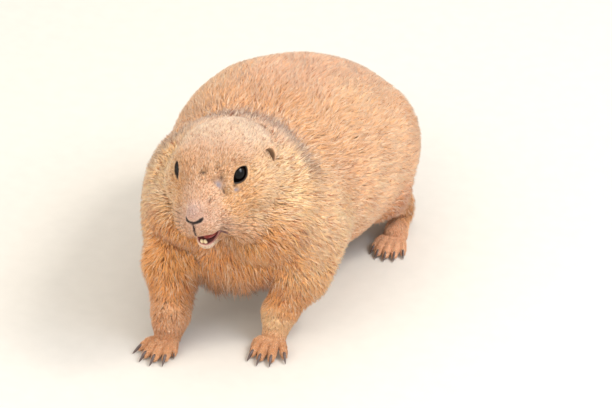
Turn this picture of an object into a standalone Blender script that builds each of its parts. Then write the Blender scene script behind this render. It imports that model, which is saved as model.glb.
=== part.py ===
# A life-size black-tailed prairie dog on all fours, head level and mouth a little open.
# The flesh is laid up from muscle masses, melted into one skin form and parted by thin cuts
# into the pieces that a person would name. Eyes, ears, lids, teeth, toes and claws are added.
#
# Lengths in the tables are millimetres. X is the animal's left, -Y is the way it faces, Z is up.
# The stance frame has its origin on the floor, midway between the forefeet. The head frame has
# its origin midway between the eyes. At the end the model moves so that the origin is the floor
# point under the middle of its box.

import bmesh
import bpy
import numpy as np
from mathutils import Euler, Matrix, Vector

MM = 0.001
GAP = 0.3  # kept between pieces that touch
BIG = 900.0
MELT_VOXEL = 1.25
SOFTEN_ALL = 6
SOFTEN_BODY = 60
FLESH_TRIANGLES = 6150

# Trunk cross-sections, nose end to tail end: place along the body, half width, top, bottom
TRUNK_SECTIONS = [
    (14, 25, 105, 60),
    (28, 38, 108, 34),
    (46, 48, 112, 21),
    (66, 56, 115, 13),
    (90, 62, 115, 10),
    (112, 63, 112, 11),
    (134, 60, 105, 13),
    (154, 52, 96, 18),
    (172, 39, 81, 26),
    (185, 22, 65, 37),
]

# Ellipsoids of the body: centre and half sizes. A name that ends in _pair is mirrored.
BODY_MASSES = {
    "ruff_pair": ((21, 15, 70), (20, 18, 22)),
    "nape": ((0, 35, 82), (39, 25, 31)),
    "breast": ((0, 26, 47), (32, 20, 26)),
    "shoulder_pair": ((34, 42, 60), (22, 31, 36)),
    "haunch_pair": ((38, 128, 54), (22, 36, 35)),
    "hock_pair": ((35, 149, 32), (16, 20, 20)),
    "rump": ((0, 156, 55), (40, 28, 32)),
}

# The head, in its own frame
EYE_MIDPOINT = (0.3, -2, 105)
HEAD_TURN = (8.0, -6.0, 3.0)  # degrees: nose down, left side up, to its left
HEAD_MASSES = {
    "cranium": ((0, 17, -2), (26, 27, 15)),
    "forehead": ((0, 0, 1), (15.5, 16, 8.5)),
    "temple_pair": ((11, 7, -3), (9, 16, 12)),
    "cheek_pair": ((16.5, 13, -14), (15.5, 21, 15)),
    "cheekbone_pair": ((11, -4, -13.5), (9.5, 18, 10)),
    "jowl_pair": ((18, 24, -23), (18, 19, 18)),
    "whisker_pad_pair": ((5.2, -22, -15.6), (6.3, 8.4, 6.8)),
    "upper_lip": ((-0.3, -23.5, -15.6), (4.6, 6.6, 6.2)),
    "nose_bridge": ((0, -19, -7.3), (6.4, 9, 5.2)),
    "throat": ((0, 18, -24), (24, 18, 15)),
    "chop_pair": ((14, 3, -29), (12, 16, 13.5)),
    "mouth_side_pair": ((10, -9, -22), (8, 12, 9)),
}
MUZZLE = [((0, 6, -4), 17), ((0, -10, -8), 13.2), ((0, -19, -11), 9.0)]
NOSE = [((-1.0, -20.5, -7.8), 5.4), ((-1.0, -26.2, -10.0), 5.2)]
JAW = [((0, 12, -26), 13), ((0, -6, -28), 9.4), ((-0.7, -18.9, -28.4), 6.3)]

# Eyes, in the head frame: the left one, and the right one mirrors it
EYE_CENTRE = (13.4, 0.6, -0.4)
EYE_RADIUS = 5.2
EYE_GAZE = (0.68, -0.67, 0.30)
LID_RADIUS = 6.5
LID_OPENING = (10.0, 7.3)  # corner to corner, lid to lid
LID_TILT = 14  # degrees: the front corner is lower

EAR_CENTRE = (23.5, 18.0, -2.5)
EAR_SIZE = (3.2, 5.2, 5.8)  # half sizes of the cup
EAR_TURN = (10, -18, -20)

NOSE_MIDDLE = -0.8  # the nose points a little to the animal's right
NOSTRIL = ((3.2, -30.2, -9.4), (2.4, 2.2, 0.9))
PHILTRUM = ((0, -31.8, -15.6), (0.6, 1.3, 5.0))
# The opening of the mouth: within the jaws, at its left corner, and under the upper lip
MOUTH = [
    ((0.4, -20.3, -25.3), (5.2, 9.6, 3.5)),
    ((6.0, -19.5, -22.6), (4.8, 7.8, 3.3)),
    ((1.8, -27.0, -21.6), (6.0, 5.5, 3.0)),
]
# Incisors: place of the root at each jaw, and the length from there to the edge
UPPER_INCISORS = ((-24.0, -16.0), -3.4)
LOWER_INCISORS = ((-20.4, -30.5), 5.0)
INCISOR_WIDTH = 1.9

# Limbs: joints from the body outwards, with the radius of the furred limb at each
FORELEG = {
    "left": [((36, 44, 54), 18), ((36, 31, 34), 15), ((28, 21, 15), 9.8), ((28, 14, 6), 7.2)],
    "right": [((-35, 36, 54), 17), ((-29, 13, 36), 16), ((-23.5, -3, 15), 10.5), ((-23, -8, 6), 7.6)],
}
HIND_LEG = {
    "left": [((44, 122, 38), 16), ((44, 149, 16), 10), ((45, 156, 7), 7), ((50, 134, 5.5), 7.2)],
    "right": [((-44, 120, 38), 16), ((-44, 147, 16), 10), ((-45, 154, 7), 7), ((-50, 132, 5.5), 7.2)],
}
TAIL = [
    ((0, 172, 50), 16),
    ((-2, 197, 35), 11.5),
    ((-8, 218, 20), 11),
    ((-19, 238, 11), 12.5),
    ((-33, 254, 9), 10.5),
    ((-44, 264, 7), 6),
]

# Feet: where the palm stands, and its heading in degrees from straight ahead, to the animal's left
FOREFOOT = {"left": ((28.5, 11), 6), "right": ((-22.5, -10), -8)}
HIND_FOOT = {"left": ((50, 131), 4), "right": ((-50, 129), -4)}
# One toe: place across the palm (outwards), splay in degrees (outwards), length, radius
FORE_TOES = [
    (-6.6, -26, 5.5, 1.9),
    (-4.6, -14, 12, 2.4),
    (-1.4, -4, 14.5, 2.6),
    (2.0, 6, 14, 2.6),
    (5.2, 24, 10, 2.3),
]
HIND_TOES = [
    (-6.0, -16, 8, 2.1),
    (-3.2, -7, 12, 2.4),
    (0, 0, 13, 2.5),
    (3.2, 7, 12, 2.4),
    (6.0, 18, 8, 2.1),
]
FORE_CLAW = (6.8, 1.15)  # length, radius at the root
HIND_CLAW = (5.6, 1.0)

# Where the flesh parts: the plane's point, and the way to the outer side
HEAD_CUT = ((0, 46, 118), (0, -0.818, 0.576))
NECK_CUT = ((0, 70, 122), (0, -0.87, 0.49))
TAIL_CUT = ((0, 190, 44), (0, 0.8, -0.6))
# Boxes for the limbs: lowest and highest corner, for the left side
FORELEG_BOX = ((13, -40, -20), (90, 46, 40))
HIND_LEG_BOX = ((30, 96, -20), (90, 176, 48))
WRIST_HEIGHT = 12.5
ANKLE_HEIGHT = 11.5

# Colours as sRGB hex, with roughness
MATERIALS = {
    "fur_head": ("B58E66", 0.9),
    "fur_body": ("B98F61", 0.9),
    "fur_nape": ("9C7B58", 0.9),
    "fur_leg": ("C39A68", 0.9),
    "fur_foot": ("C79E80", 0.85),
    "fur_tail": ("7A5A3E", 0.9),
    "ear_skin": ("A8846A", 0.8),
    "eye_black": ("0B0908", 0.05),
}


def left_and_right(side):
    return 1 if side == "left" else -1


def flipped(point, side):
    return Vector((left_and_right(side) * point[0], point[1], point[2]))


def ball(bm, centre, half_sizes, detail=4, turn=None, frame=None):
    """A ball stretched to its half sizes, then turned and placed."""
    place = Matrix.Translation(Vector(centre))
    if turn is not None:
        place = place @ turn
    place = place @ Matrix.Diagonal((*half_sizes, 1))
    if frame is not None:
        place = frame @ place
    bmesh.ops.create_icosphere(bm, subdivisions=detail, radius=1, matrix=place)


def masses(bm, table, frame=None):
    for name, (centre, half_sizes) in table.items():
        sides = (1, -1) if name.endswith("_pair") else (1,)
        for side in sides:
            ball(bm, (side * centre[0], centre[1], centre[2]), half_sizes, frame=frame)


def limb(bm, joints, frame=None):
    """Tapered rods between balls, one ball at each joint."""
    frame = frame or Matrix()
    for (start, start_radius), (end, end_radius) in zip(joints, joints[1:]):
        start, end = Vector(start), Vector(end)
        along = end - start
        turn = along.to_track_quat("Z", "Y").to_matrix().to_4x4()
        bmesh.ops.create_cone(
            bm,
            cap_ends=True,
            segments=24,
            radius1=start_radius,
            radius2=end_radius,
            depth=along.length,
            matrix=frame @ Matrix.Translation((start + end) / 2) @ turn,
        )
    for centre, radius in joints:
        ball(bm, centre, (radius, radius, radius), frame=frame)


def smooth_through(x, places, values):
    """A smooth curve through named points, by cubic steps with averaged slopes."""
    slopes = np.gradient(values, places)
    i = np.clip(np.searchsorted(places, x) - 1, 0, len(places) - 2)
    step = places[i + 1] - places[i]
    t = (x - places[i]) / step
    return (
        values[i] * (2 * t**3 - 3 * t**2 + 1)
        + values[i + 1] * (3 * t**2 - 2 * t**3)
        + step * slopes[i] * (t**3 - 2 * t**2 + t)
        + step * slopes[i + 1] * (t**3 - t**2)
    )


def join_rings(bm, rings):
    """Skin over rings of points, closed by a flat face at each end."""
    rings = [[bm.verts.new(point) for point in ring] for ring in rings]
    count = len(rings[0])
    for near, far in zip(rings, rings[1:]):
        for i in range(count):
            j = (i + 1) % count
            bm.faces.new((near[i], near[j], far[j], far[i]))
    bm.faces.new(list(reversed(rings[0])))
    bm.faces.new(rings[-1])


def trunk(bm):
    """Rounded cross-sections carried along the body, with a smooth curve between the named ones."""
    named = np.array(TRUNK_SECTIONS, float)
    stations = np.linspace(named[0, 0], named[-1, 0], 48)
    width, top, bottom = (smooth_through(stations, named[:, 0], named[:, i]) for i in (1, 2, 3))
    turn = np.linspace(0, 2 * np.pi, 48, endpoint=False)
    rings = []
    for y, w, high, low in zip(stations, width, top, bottom):
        middle = (high + low) / 2
        rings.append([(w * np.cos(t), y, middle + (high - low) / 2 * np.sin(t)) for t in turn])
    join_rings(bm, rings)


def tube(bm, points, radii, sides):
    """Rings of the given radii carried along a path. Each ring stands square to the path."""
    points = [Vector(point) for point in points]
    rings = []
    for i, (point, radius) in enumerate(zip(points, radii)):
        ahead = points[min(i + 1, len(points) - 1)] - points[max(i - 1, 0)]
        turn = ahead.to_track_quat("Z", "Y").to_matrix()
        angles = [2 * np.pi * (k + 0.5) / sides for k in range(sides)]
        rings.append([point + turn @ Vector((radius * np.cos(a), radius * np.sin(a), 0)) for a in angles])
    join_rings(bm, rings)


def head_frame():
    turn = Euler([np.radians(a) for a in HEAD_TURN]).to_matrix().to_4x4()
    return Matrix.Translation(Vector(EYE_MIDPOINT)) @ turn


def add_object(name, bm):
    mesh = bpy.data.meshes.new(name)
    bmesh.ops.recalc_face_normals(bm, faces=bm.faces)
    bm.to_mesh(mesh)
    bm.free()
    made = bpy.data.objects.new(name, mesh)
    bpy.context.scene.collection.objects.link(made)
    return made


def shape(name, build, *args, **settings):
    """An object made by one of the functions above."""
    bm = bmesh.new()
    build(bm, *args, **settings)
    return add_object(name, bm)


def apply_modifiers(obj):
    graph = bpy.context.evaluated_depsgraph_get()
    graph.update()
    baked = bpy.data.meshes.new_from_object(obj.evaluated_get(graph))
    obj.modifiers.clear()
    obj.data = baked


def remove(obj):
    bpy.data.objects.remove(obj)


def carve(obj, cutter, operation="DIFFERENCE"):
    """One cut, or the part that lies inside the other object, applied."""
    cut = obj.modifiers.new("cut", "BOOLEAN")
    cut.operation = operation
    cut.solver = "EXACT"
    cut.object = cutter
    apply_modifiers(obj)
    remove(cutter)


def fuse(obj, pieces):
    """One union on a collection of closed pieces, applied."""
    group = bpy.data.collections.new("pieces")
    bpy.context.scene.collection.children.link(group)
    for piece in pieces:
        bpy.context.scene.collection.objects.unlink(piece)
        group.objects.link(piece)
    union = obj.modifiers.new("union", "BOOLEAN")
    union.operation = "UNION"
    union.solver = "EXACT"
    union.operand_type = "COLLECTION"
    union.collection = group
    apply_modifiers(obj)
    for piece in pieces:
        remove(piece)
    bpy.data.collections.remove(group)


def keep_largest(obj):
    """Only the largest closed surface stays, so a sealed hollow fills and a loose scrap goes."""
    bm = bmesh.new()
    bm.from_mesh(obj.data)
    bm.verts.index_update()
    group = {}
    for start in bm.verts:
        if start in group:
            continue
        reached = [start]
        group[start] = start
        for vert in reached:
            for edge in vert.link_edges:
                other = edge.other_vert(vert)
                if other not in group:
                    group[other] = start
                    reached.append(other)
    spans = {}
    for vert, start in group.items():
        low, high = spans.get(start, (vert.co.copy(), vert.co.copy()))
        low = Vector([min(a, b) for a, b in zip(low, vert.co)])
        high = Vector([max(a, b) for a, b in zip(high, vert.co)])
        spans[start] = (low, high)
    largest = max(spans, key=lambda start: (spans[start][1] - spans[start][0]).length)
    loose = [vert for vert, start in group.items() if start is not largest]
    bmesh.ops.delete(bm, geom=loose, context="VERTS")
    bmesh.ops.dissolve_degenerate(bm, dist=0.0005, edges=bm.edges)
    bm.to_mesh(obj.data)
    bm.free()


def copied(obj, name):
    twin = bpy.data.objects.new(name, obj.data.copy())
    bpy.context.scene.collection.objects.link(twin)
    return twin


def half_space(cut, grow):
    """A great cube on the outer side of a cutting plane."""
    point, way = Vector(cut[0]), Vector(cut[1]).normalized()
    turn = way.to_track_quat("Z", "Y").to_matrix().to_4x4()
    place = Matrix.Translation(point + way * (BIG / 2 - grow)) @ turn
    return shape("cutter", bmesh.ops.create_cube, size=BIG, matrix=place)


def corner_box(corners, side, grow):
    low, high = Vector(corners[0]), Vector(corners[1])
    if side == "right":
        low.x, high.x = -high.x, -low.x
    middle = (low + high) / 2
    size = high - low + Vector((2 * grow,) * 3)
    place = Matrix.Translation(middle) @ Matrix.Diagonal((*size, 1))
    return shape("cutter", bmesh.ops.create_cube, size=1, matrix=place)


def part_off(flesh, name, region, *args):
    """The flesh inside a region becomes its own piece, with the gap left on the other side."""
    piece = copied(flesh, name)
    carve(piece, region(*args, 0), "INTERSECT")
    keep_largest(piece)
    carve(flesh, region(*args, GAP))
    keep_largest(flesh)
    return piece


def flesh_masses(bm):
    trunk(bm)
    masses(bm, BODY_MASSES)
    masses(bm, HEAD_MASSES, head_frame())
    for rod in (MUZZLE, NOSE, JAW):
        limb(bm, rod, head_frame())
    for side in ("left", "right"):
        limb(bm, FORELEG[side])
        limb(bm, HIND_LEG[side])
    limb(bm, TAIL)


def melted_flesh():
    """All the masses melted into one skin form, softest over the body."""
    flesh = shape("flesh", flesh_masses)
    melt = flesh.modifiers.new("melt", "REMESH")
    melt.mode = "VOXEL"
    melt.voxel_size = MELT_VOXEL
    soften = flesh.modifiers.new("soften", "SMOOTH")
    soften.iterations = SOFTEN_ALL
    apply_modifiers(flesh)
    count = len(flesh.data.vertices)
    points = np.empty(count * 3, np.float32)
    flesh.data.vertices.foreach_get("co", points)
    points = points.reshape(count, 3)
    from_head = (points - np.array(HEAD_CUT[0])) @ -np.array(HEAD_CUT[1])
    soft = np.clip((from_head + 20) / 30, 0, 1) * np.clip((points[:, 2] - 12) / 12, 0, 1)
    body = flesh.vertex_groups.new(name="body")
    for step in range(11):
        body.add(np.flatnonzero(np.round(soft * 10) == step).tolist(), step / 10, "REPLACE")
    soften = flesh.modifiers.new("soften body", "SMOOTH")
    soften.iterations = SOFTEN_BODY
    soften.vertex_group = "body"
    apply_modifiers(flesh)
    thin = flesh.modifiers.new("thin", "DECIMATE")
    thin.ratio = FLESH_TRIANGLES / (2 * len(flesh.data.polygons))
    apply_modifiers(flesh)
    flesh.vertex_groups.clear()
    return flesh


def side_turn(side, degrees):
    """A turn given for the left side, mirrored for the right."""
    sign = left_and_right(side)
    return Euler(np.radians((degrees[0], sign * degrees[1], sign * degrees[2]))).to_matrix().to_4x4()


def gaze_frame(side):
    """Z along the way the eye looks, X along the line between the corners of its lids."""
    centre = head_frame() @ flipped(EYE_CENTRE, side)
    way = (head_frame().to_3x3() @ flipped(EYE_GAZE, side)).normalized()
    back = head_frame().to_3x3() @ Vector((0, 1, 0))
    across = (back - way * back.dot(way)).normalized()
    up = across.cross(way) if side == "left" else way.cross(across)
    up = up if up.z > 0 else -up
    tilt = np.radians(LID_TILT)
    along = across * np.cos(tilt) + up * np.sin(tilt)
    other = way.cross(along)
    turn = Matrix((along, other, way)).transposed().to_4x4()
    return Matrix.Translation(centre) @ turn


def lens_prism(bm, length, width, depth, frame):
    """The almond between the lids, carried outwards from the middle of the eye."""
    rings = []
    for z in (0.5, depth):
        ring = []
        for t in np.linspace(0, 2 * np.pi, 20, endpoint=False):
            across = np.cos(t)
            high = np.sign(np.sin(t)) * abs(np.sin(t)) ** 1.35
            ring.append(frame @ Vector((length / 2 * across, width / 2 * high, z)))
        rings.append(ring)
    join_rings(bm, rings)


def incisor(bm, x, root, length, frame):
    """A chisel tooth, narrower and thinner at its edge."""
    y, z = root
    w = INCISOR_WIDTH / 2
    rings = []
    for share, wide, deep, ahead in ((0, 1, 1.0, 0), (0.55, 1, 0.9, -0.9), (1, 0.86, 0.35, -1.6)):
        ring = []
        for sx, sy in ((-1, -1), (1, -1), (1, 1), (-1, 1)):
            point = Vector((x + sx * w * wide, y + ahead + sy * deep, z + share * length))
            ring.append(frame @ point)
        rings.append(ring)
    join_rings(bm, rings)


def finish_head(head):
    frame = head_frame()
    r = EYE_RADIUS + GAP
    lids = []
    for side in ("left", "right"):
        centre = flipped(EYE_CENTRE, side)
        lids.append(shape("lid", ball, centre, (LID_RADIUS,) * 3, detail=3, frame=frame))
    fuse(head, lids)
    for side in ("left", "right"):
        centre = flipped(EYE_CENTRE, side)
        carve(head, shape("cutter", ball, centre, (r, r, r), detail=3, frame=frame))
        carve(head, shape("cutter", lens_prism, *LID_OPENING, 9, gaze_frame(side)))
        seat = [size + GAP for size in EAR_SIZE]
        turn = side_turn(side, EAR_TURN)
        carve(head, shape("cutter", ball, flipped(EAR_CENTRE, side), seat, detail=3, turn=turn, frame=frame))
        turn = side_turn(side, (0, -20, 24))
        nostril = flipped(NOSTRIL[0], side) + Vector((NOSE_MIDDLE, 0, 0))
        carve(head, shape("cutter", ball, nostril, NOSTRIL[1], detail=2, turn=turn, frame=frame))
    philtrum = Vector(PHILTRUM[0]) + Vector((NOSE_MIDDLE, 0, 0))
    carve(head, shape("cutter", ball, philtrum, PHILTRUM[1], detail=2, frame=frame))
    for centre, size in MOUTH:
        carve(head, shape("cutter", ball, centre, size, detail=3, frame=frame))
    teeth = []
    for x in (-0.54, 0.54):
        across = x * INCISOR_WIDTH + NOSE_MIDDLE
        for root, length in (UPPER_INCISORS, LOWER_INCISORS):
            teeth.append(shape("tooth", incisor, across, root, length, frame))
    fuse(head, teeth)
    keep_largest(head)


def ear(side):
    """A low rounded cup that opens outwards and forwards."""
    frame = head_frame()
    turn = side_turn(side, EAR_TURN)
    cup = shape("ear_" + side, ball, flipped(EAR_CENTRE, side), EAR_SIZE, detail=3, turn=turn, frame=frame)
    out = turn.to_3x3() @ Vector((left_and_right(side), 0, 0))
    hollow_centre = flipped(EAR_CENTRE, side) + out * (EAR_SIZE[0] * 0.95 + 0.6)
    hollow = [EAR_SIZE[0] * 0.95, EAR_SIZE[1] * 0.78, EAR_SIZE[2] * 0.76]
    carve(cup, shape("cutter", ball, hollow_centre, hollow, detail=3, turn=turn, frame=frame))
    keep_largest(cup)
    return cup


def eye(side):
    frame = head_frame()
    place = frame @ Matrix.Translation(flipped(EYE_CENTRE, side)) @ gaze_frame(side).to_3x3().to_4x4()
    return shape(
        "eye_" + side,
        bmesh.ops.create_uvsphere,
        u_segments=20,
        v_segments=12,
        radius=EYE_RADIUS,
        matrix=place,
    )


def foot_frame(stand, side):
    (x, y), heading = stand
    return Matrix.Translation((x, y, 0)) @ Matrix.Rotation(np.radians(heading), 4, "Z")


def toe(bm, side, spec, front, frame):
    """A toe with one knuckle, from inside the palm to its rounded tip."""
    across, splay, length, radius = spec
    turn = Matrix.Rotation(np.radians(left_and_right(side) * splay), 4, "Z")
    root = Vector((left_and_right(side) * across, front, 0))
    path = []
    for far, high in ((-6, 5.2), (0, 5.0), (0.42, 4.9), (0.72, 3.6), (0.93, 2.5), (1.0, 2.2)):
        ahead = far if far < 0 else far * length
        path.append(frame @ (root + turn @ Vector((0, -ahead, high))))
    widths = [radius * k for k in (0.9, 1.0, 1.05, 1.0, 0.85, 0.4)]
    tube(bm, path, widths, 8)


def claw(bm, side, spec, size, front, frame):
    """A curved claw, from inside the toe's tip forwards and down to near the floor."""
    across, splay, length, radius = spec
    claw_length, thick = size
    turn = Matrix.Rotation(np.radians(left_and_right(side) * splay), 4, "Z")
    root = Vector((left_and_right(side) * across, front, 0))
    path = []
    for t in (0, 0.3, 0.55, 0.8, 1.0):
        ahead = length - 2.2 + t * claw_length
        high = 3.3 + 0.5 * np.sin(np.pi * min(t * 1.6, 1)) - 2.7 * t**2
        path.append(frame @ (root + turn @ Vector((0, -ahead, high))))
    tube(bm, path, [thick * k for k in (1.0, 0.95, 0.75, 0.5, 0.2)], 6)


def finish_foot(foot, side, stand, toes, claw_size, front):
    frame = foot_frame(stand, side)
    pieces = []
    for spec in toes:
        pieces.append(shape("toe", toe, side, spec, front, frame))
        short = 0.7 if spec[2] < 7 else 1.0
        size = (claw_size[0] * short, claw_size[1])
        pieces.append(shape("claw", claw, side, spec, size, front, frame))
    fuse(foot, pieces)
    carve(foot, half_space(((0, 0, 0), (0, 0, 1)), 0), "INTERSECT")
    keep_largest(foot)


def material(name):
    colour, roughness = MATERIALS[name]
    channels = [int(colour[i : i + 2], 16) / 255 for i in (0, 2, 4)]
    linear = [c / 12.92 if c <= 0.04045 else ((c + 0.055) / 1.055) ** 2.4 for c in channels]
    made = bpy.data.materials.new(name)
    made.use_nodes = True
    shader = made.node_tree.nodes["Principled BSDF"]
    shader.inputs["Base Color"].default_value = (*linear, 1)
    shader.inputs["Roughness"].default_value = roughness
    shader.inputs["Metallic"].default_value = 0
    made.diffuse_color = (*linear, 1)
    return made


def material_name(node):
    if node.startswith(("forefoot", "hindfoot")):
        return "fur_foot"
    if node.startswith(("foreleg", "hindleg")):
        return "fur_leg"
    names = {"head": "fur_head", "neck": "fur_nape", "torso": "fur_body", "tail": "fur_tail"}
    if node in names:
        return names[node]
    return "ear_skin" if node.startswith("ear") else "eye_black"


def main():
    for obj in list(bpy.data.objects):
        bpy.data.objects.remove(obj)
    flesh = melted_flesh()
    pieces = []
    for side in ("left", "right"):
        foreleg = part_off(flesh, "foreleg_" + side, corner_box, FORELEG_BOX, side)
        hind_leg = part_off(flesh, "hindleg_" + side, corner_box, HIND_LEG_BOX, side)
        wrist = ((0, 0, WRIST_HEIGHT), (0, 0, -1))
        ankle = ((0, 0, ANKLE_HEIGHT), (0, 0, -1))
        forefoot = part_off(foreleg, "forefoot_" + side, half_space, wrist)
        hind_foot = part_off(hind_leg, "hindfoot_" + side, half_space, ankle)
        finish_foot(forefoot, side, FOREFOOT[side], FORE_TOES, FORE_CLAW, -3)
        finish_foot(hind_foot, side, HIND_FOOT[side], HIND_TOES, HIND_CLAW, -4)
        pieces += [foreleg, hind_leg, forefoot, hind_foot]
    head = part_off(flesh, "head", half_space, HEAD_CUT)
    neck = part_off(flesh, "neck", half_space, NECK_CUT)
    tail = part_off(flesh, "tail", half_space, TAIL_CUT)
    carve(tail, half_space(((0, 0, 0), (0, 0, 1)), 0), "INTERSECT")
    flesh.name = "torso"
    finish_head(head)
    pieces += [head, neck, tail, flesh]
    for side in ("left", "right"):
        pieces += [ear(side), eye(side)]

    corners = [obj.matrix_world @ Vector(c) for obj in pieces for c in obj.bound_box]
    corners = np.array([tuple(c) for c in corners])
    low, high = corners.min(axis=0), corners.max(axis=0)
    to_middle = Matrix.Translation((-(low[0] + high[0]) / 2, -(low[1] + high[1]) / 2, 0))
    made = {}
    for obj in pieces:
        obj.data.transform(Matrix.Scale(MM, 4) @ to_middle)
        obj.data.name = obj.name
        name = material_name(obj.name)
        if name not in made:
            made[name] = material(name)
        obj.data.materials.clear()
        obj.data.materials.append(made[name])
        obj.data.shade_smooth()
        obj.data.set_sharp_from_angle(angle=np.radians(50))


main()
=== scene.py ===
import math

import bpy
import numpy as np
from mathutils import Euler, Matrix, Vector


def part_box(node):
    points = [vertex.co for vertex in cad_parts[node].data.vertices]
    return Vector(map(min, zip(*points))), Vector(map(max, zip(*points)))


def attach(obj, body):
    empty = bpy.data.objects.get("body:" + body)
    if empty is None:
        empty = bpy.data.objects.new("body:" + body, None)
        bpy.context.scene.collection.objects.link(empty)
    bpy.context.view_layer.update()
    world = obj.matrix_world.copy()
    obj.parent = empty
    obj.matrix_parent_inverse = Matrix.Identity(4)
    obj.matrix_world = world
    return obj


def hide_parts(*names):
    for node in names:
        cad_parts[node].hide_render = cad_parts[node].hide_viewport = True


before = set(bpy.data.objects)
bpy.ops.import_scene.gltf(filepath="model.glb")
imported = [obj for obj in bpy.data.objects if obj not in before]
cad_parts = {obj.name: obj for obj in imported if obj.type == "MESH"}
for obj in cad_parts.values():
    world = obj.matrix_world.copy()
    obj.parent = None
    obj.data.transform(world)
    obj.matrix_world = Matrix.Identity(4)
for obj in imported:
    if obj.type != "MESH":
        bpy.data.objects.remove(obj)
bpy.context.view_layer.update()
draw = np.random.default_rng(11)

# Lengths are millimetres in the stance frame: x is the animal's left, -y the way it faces,
# z up, the origin on the floor midway between the forefeet. The head frame starts midway
# between the eyes. Places are moved into the model's frame, in metres, at the very end.
headPose = {"eyeMidpoint": (0.3, -2, 105), "turn": (8.0, -6.0, 3.0)}
headTurn = np.array(Euler([math.radians(angle) for angle in headPose["turn"]]).to_matrix())
headPlace = np.array(headPose["eyeMidpoint"], float)

eye = {
    "centre": (13.4, 0.6, -0.4),
    "radius": 5.2,
    "gaze": (0.68, -0.67, 0.30),
    "lidRadius": 6.1,
    "opening": (10.4, 6.7),  # corner to corner, lid to lid
    "tilt": 14,  # degrees, the front corner lower
}
ear = {"centre": (23.5, 18.0, -2.5), "size": (3.2, 4.8, 5.4), "turn": (10, -18, -20)}
nose = {
    "middle": -0.8,  # the nose points a little to the animal's right
    # Across and up on the front of the muzzle, with half the slit's width there
    "nostril": ((0.15, -10.1, 0.3), (2.2, -9.8, 0.42), (3.7, -9.3, 0.6), (4.9, -8.5, 0.3)),
    "philtrum": ((0.0, -10.0, 0.3), (0.3, -13.0, 0.3), (0.4, -17.0, 0.3), (0.4, -20.0, 0.5)),
    "crease": ((5.6, -18.0, -3.6), (6.2, -27.0, -7.6)),  # beside the bridge, from its back to its front
    "creaseRadii": (0.5, 0.9),
}
# The mouth's opening within the jaws, at its left corner and under the upper lip, and the bare lip
mouth = {
    "within": ((0.4, -20.3, -25.3), (5.2, 9.6, 3.5)),
    "corner": ((4.0, -21.8, -24.6), (4.0, 5.2, 2.6)),
    "front": ((1.8, -27.0, -21.6), (6.0, 5.5, 3.1)),
    "lip": ((6.0, -20.5, -24.6), (5.4, 6.6, 4.4)),
}
# How softly each feature of the face goes over into the skin, and the eyeball's gap in its socket
edges = {
    "lids": 1.6,
    "eyeGap": 0.12,
    "eyeOpening": 0.5,
    "nostril": 0.4,
    "crease": 2.4,
    "groove": 0.5,
    "mouth": 0.7,
    "mouthParts": 1.5,
    "floor": 0.6,
}


# Places of the head frame in the stance frame: turned, then moved
def fromHead(points):
    return np.asarray(points, float) @ headTurn.T + headPlace


# The way back: moved, then turned back
def toHead(points):
    return (np.asarray(points, float) - headPlace) @ headTurn


# Each vector over its own length
def unit(vectors):
    length = np.linalg.norm(vectors, axis=-1, keepdims=True)
    return vectors / np.maximum(length, 1e-9)


# The flesh, as in the part's source. Each mass has the way its fur lies, how far the skin lies
# inside the coat's tips there, and the fur's length.
trunk = {
    "sections": [
        (14, 25, 105, 60),
        (28, 38, 108, 34),
        (46, 48, 112, 21),
        (66, 56, 115, 13),
        (90, 62, 115, 10),
        (112, 63, 112, 11),
        (134, 60, 105, 13),
        (154, 52, 96, 18),
        (172, 39, 81, 26),
        (185, 22, 65, 37),
    ],  # along the body, half width, top, bottom
    "lie": (0, 1, -0.3),
    "depth": 4.2,
    "hair": 10,
}
# Centre, half sizes, the fur's lie, the coat's depth and the fur's length; what isn't on the
# middle plane is mirrored
bodyMasses = {
    "ruffs": ((21, 15, 70), (20, 18, 22), (0.4, 0.55, -0.75), 3.6, 9),
    "nape": ((0, 35, 82), (39, 25, 31), (0, 1, -0.25), 3.4, 7),
    "breast": ((0, 26, 47), (32, 20, 26), (0, 0.25, -1), 4.2, 10),
    "shoulders": ((34, 42, 60), (22, 31, 36), (0.1, 0.75, -0.65), 4.0, 9.5),
    "haunches": ((38, 128, 54), (22, 36, 35), (0.1, 0.8, -0.6), 4.0, 10),
    "hocks": ((35, 149, 32), (16, 20, 20), (0, 0.5, -1), 3.2, 8),
    "rump": ((0, 156, 55), (40, 28, 32), (0, 1, -0.6), 4.2, 11),
}
headMasses = {
    "cranium": ((0, 17, -2), (26, 27, 15), (0, 1, 0), 1.9, 4.0),
    "forehead": ((0, 0, 1), (15.5, 16, 8.5), (0, 1, 0.1), 1.2, 3.0),
    "temples": ((11, 7, -3), (9, 16, 12), (0.3, 1, -0.1), 1.5, 3.4),
    "cheeks": ((16.5, 13, -14), (15.5, 21, 15), (0.45, 0.9, -0.3), 2.4, 5.5),
    "cheekbones": ((11, -4, -13.5), (9.5, 18, 10), (0.4, 0.9, -0.15), 1.3, 3.4),
    "jowls": ((18, 24, -23), (18, 19, 18), (0.45, 0.8, -0.55), 3.2, 7),
    "whiskerPads": ((5.2, -22, -15.6), (6.3, 8.4, 6.8), (0.6, 0.8, 0.05), 0.7, 2.0),
    "upperLip": ((-0.3, -23.5, -15.6), (4.6, 6.6, 6.2), (0, 0.9, -0.3), 0.5, 1.6),
    "noseBridge": ((0, -19.0, -7.3), (6.4, 9, 5.2), (0, 1, 0.3), 0.6, 1.7),
    "throat": ((0, 18, -24), (24, 18, 15), (0, 0.8, -0.6), 3.2, 8),
    "chops": ((14, 3, -29), (12, 16, 13.5), (0.4, 0.65, -0.65), 2.6, 6.5),
    "mouthSides": ((10, -9, -22), (8, 12, 9), (0.4, 0.85, -0.3), 1.4, 3.8),
}
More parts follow.
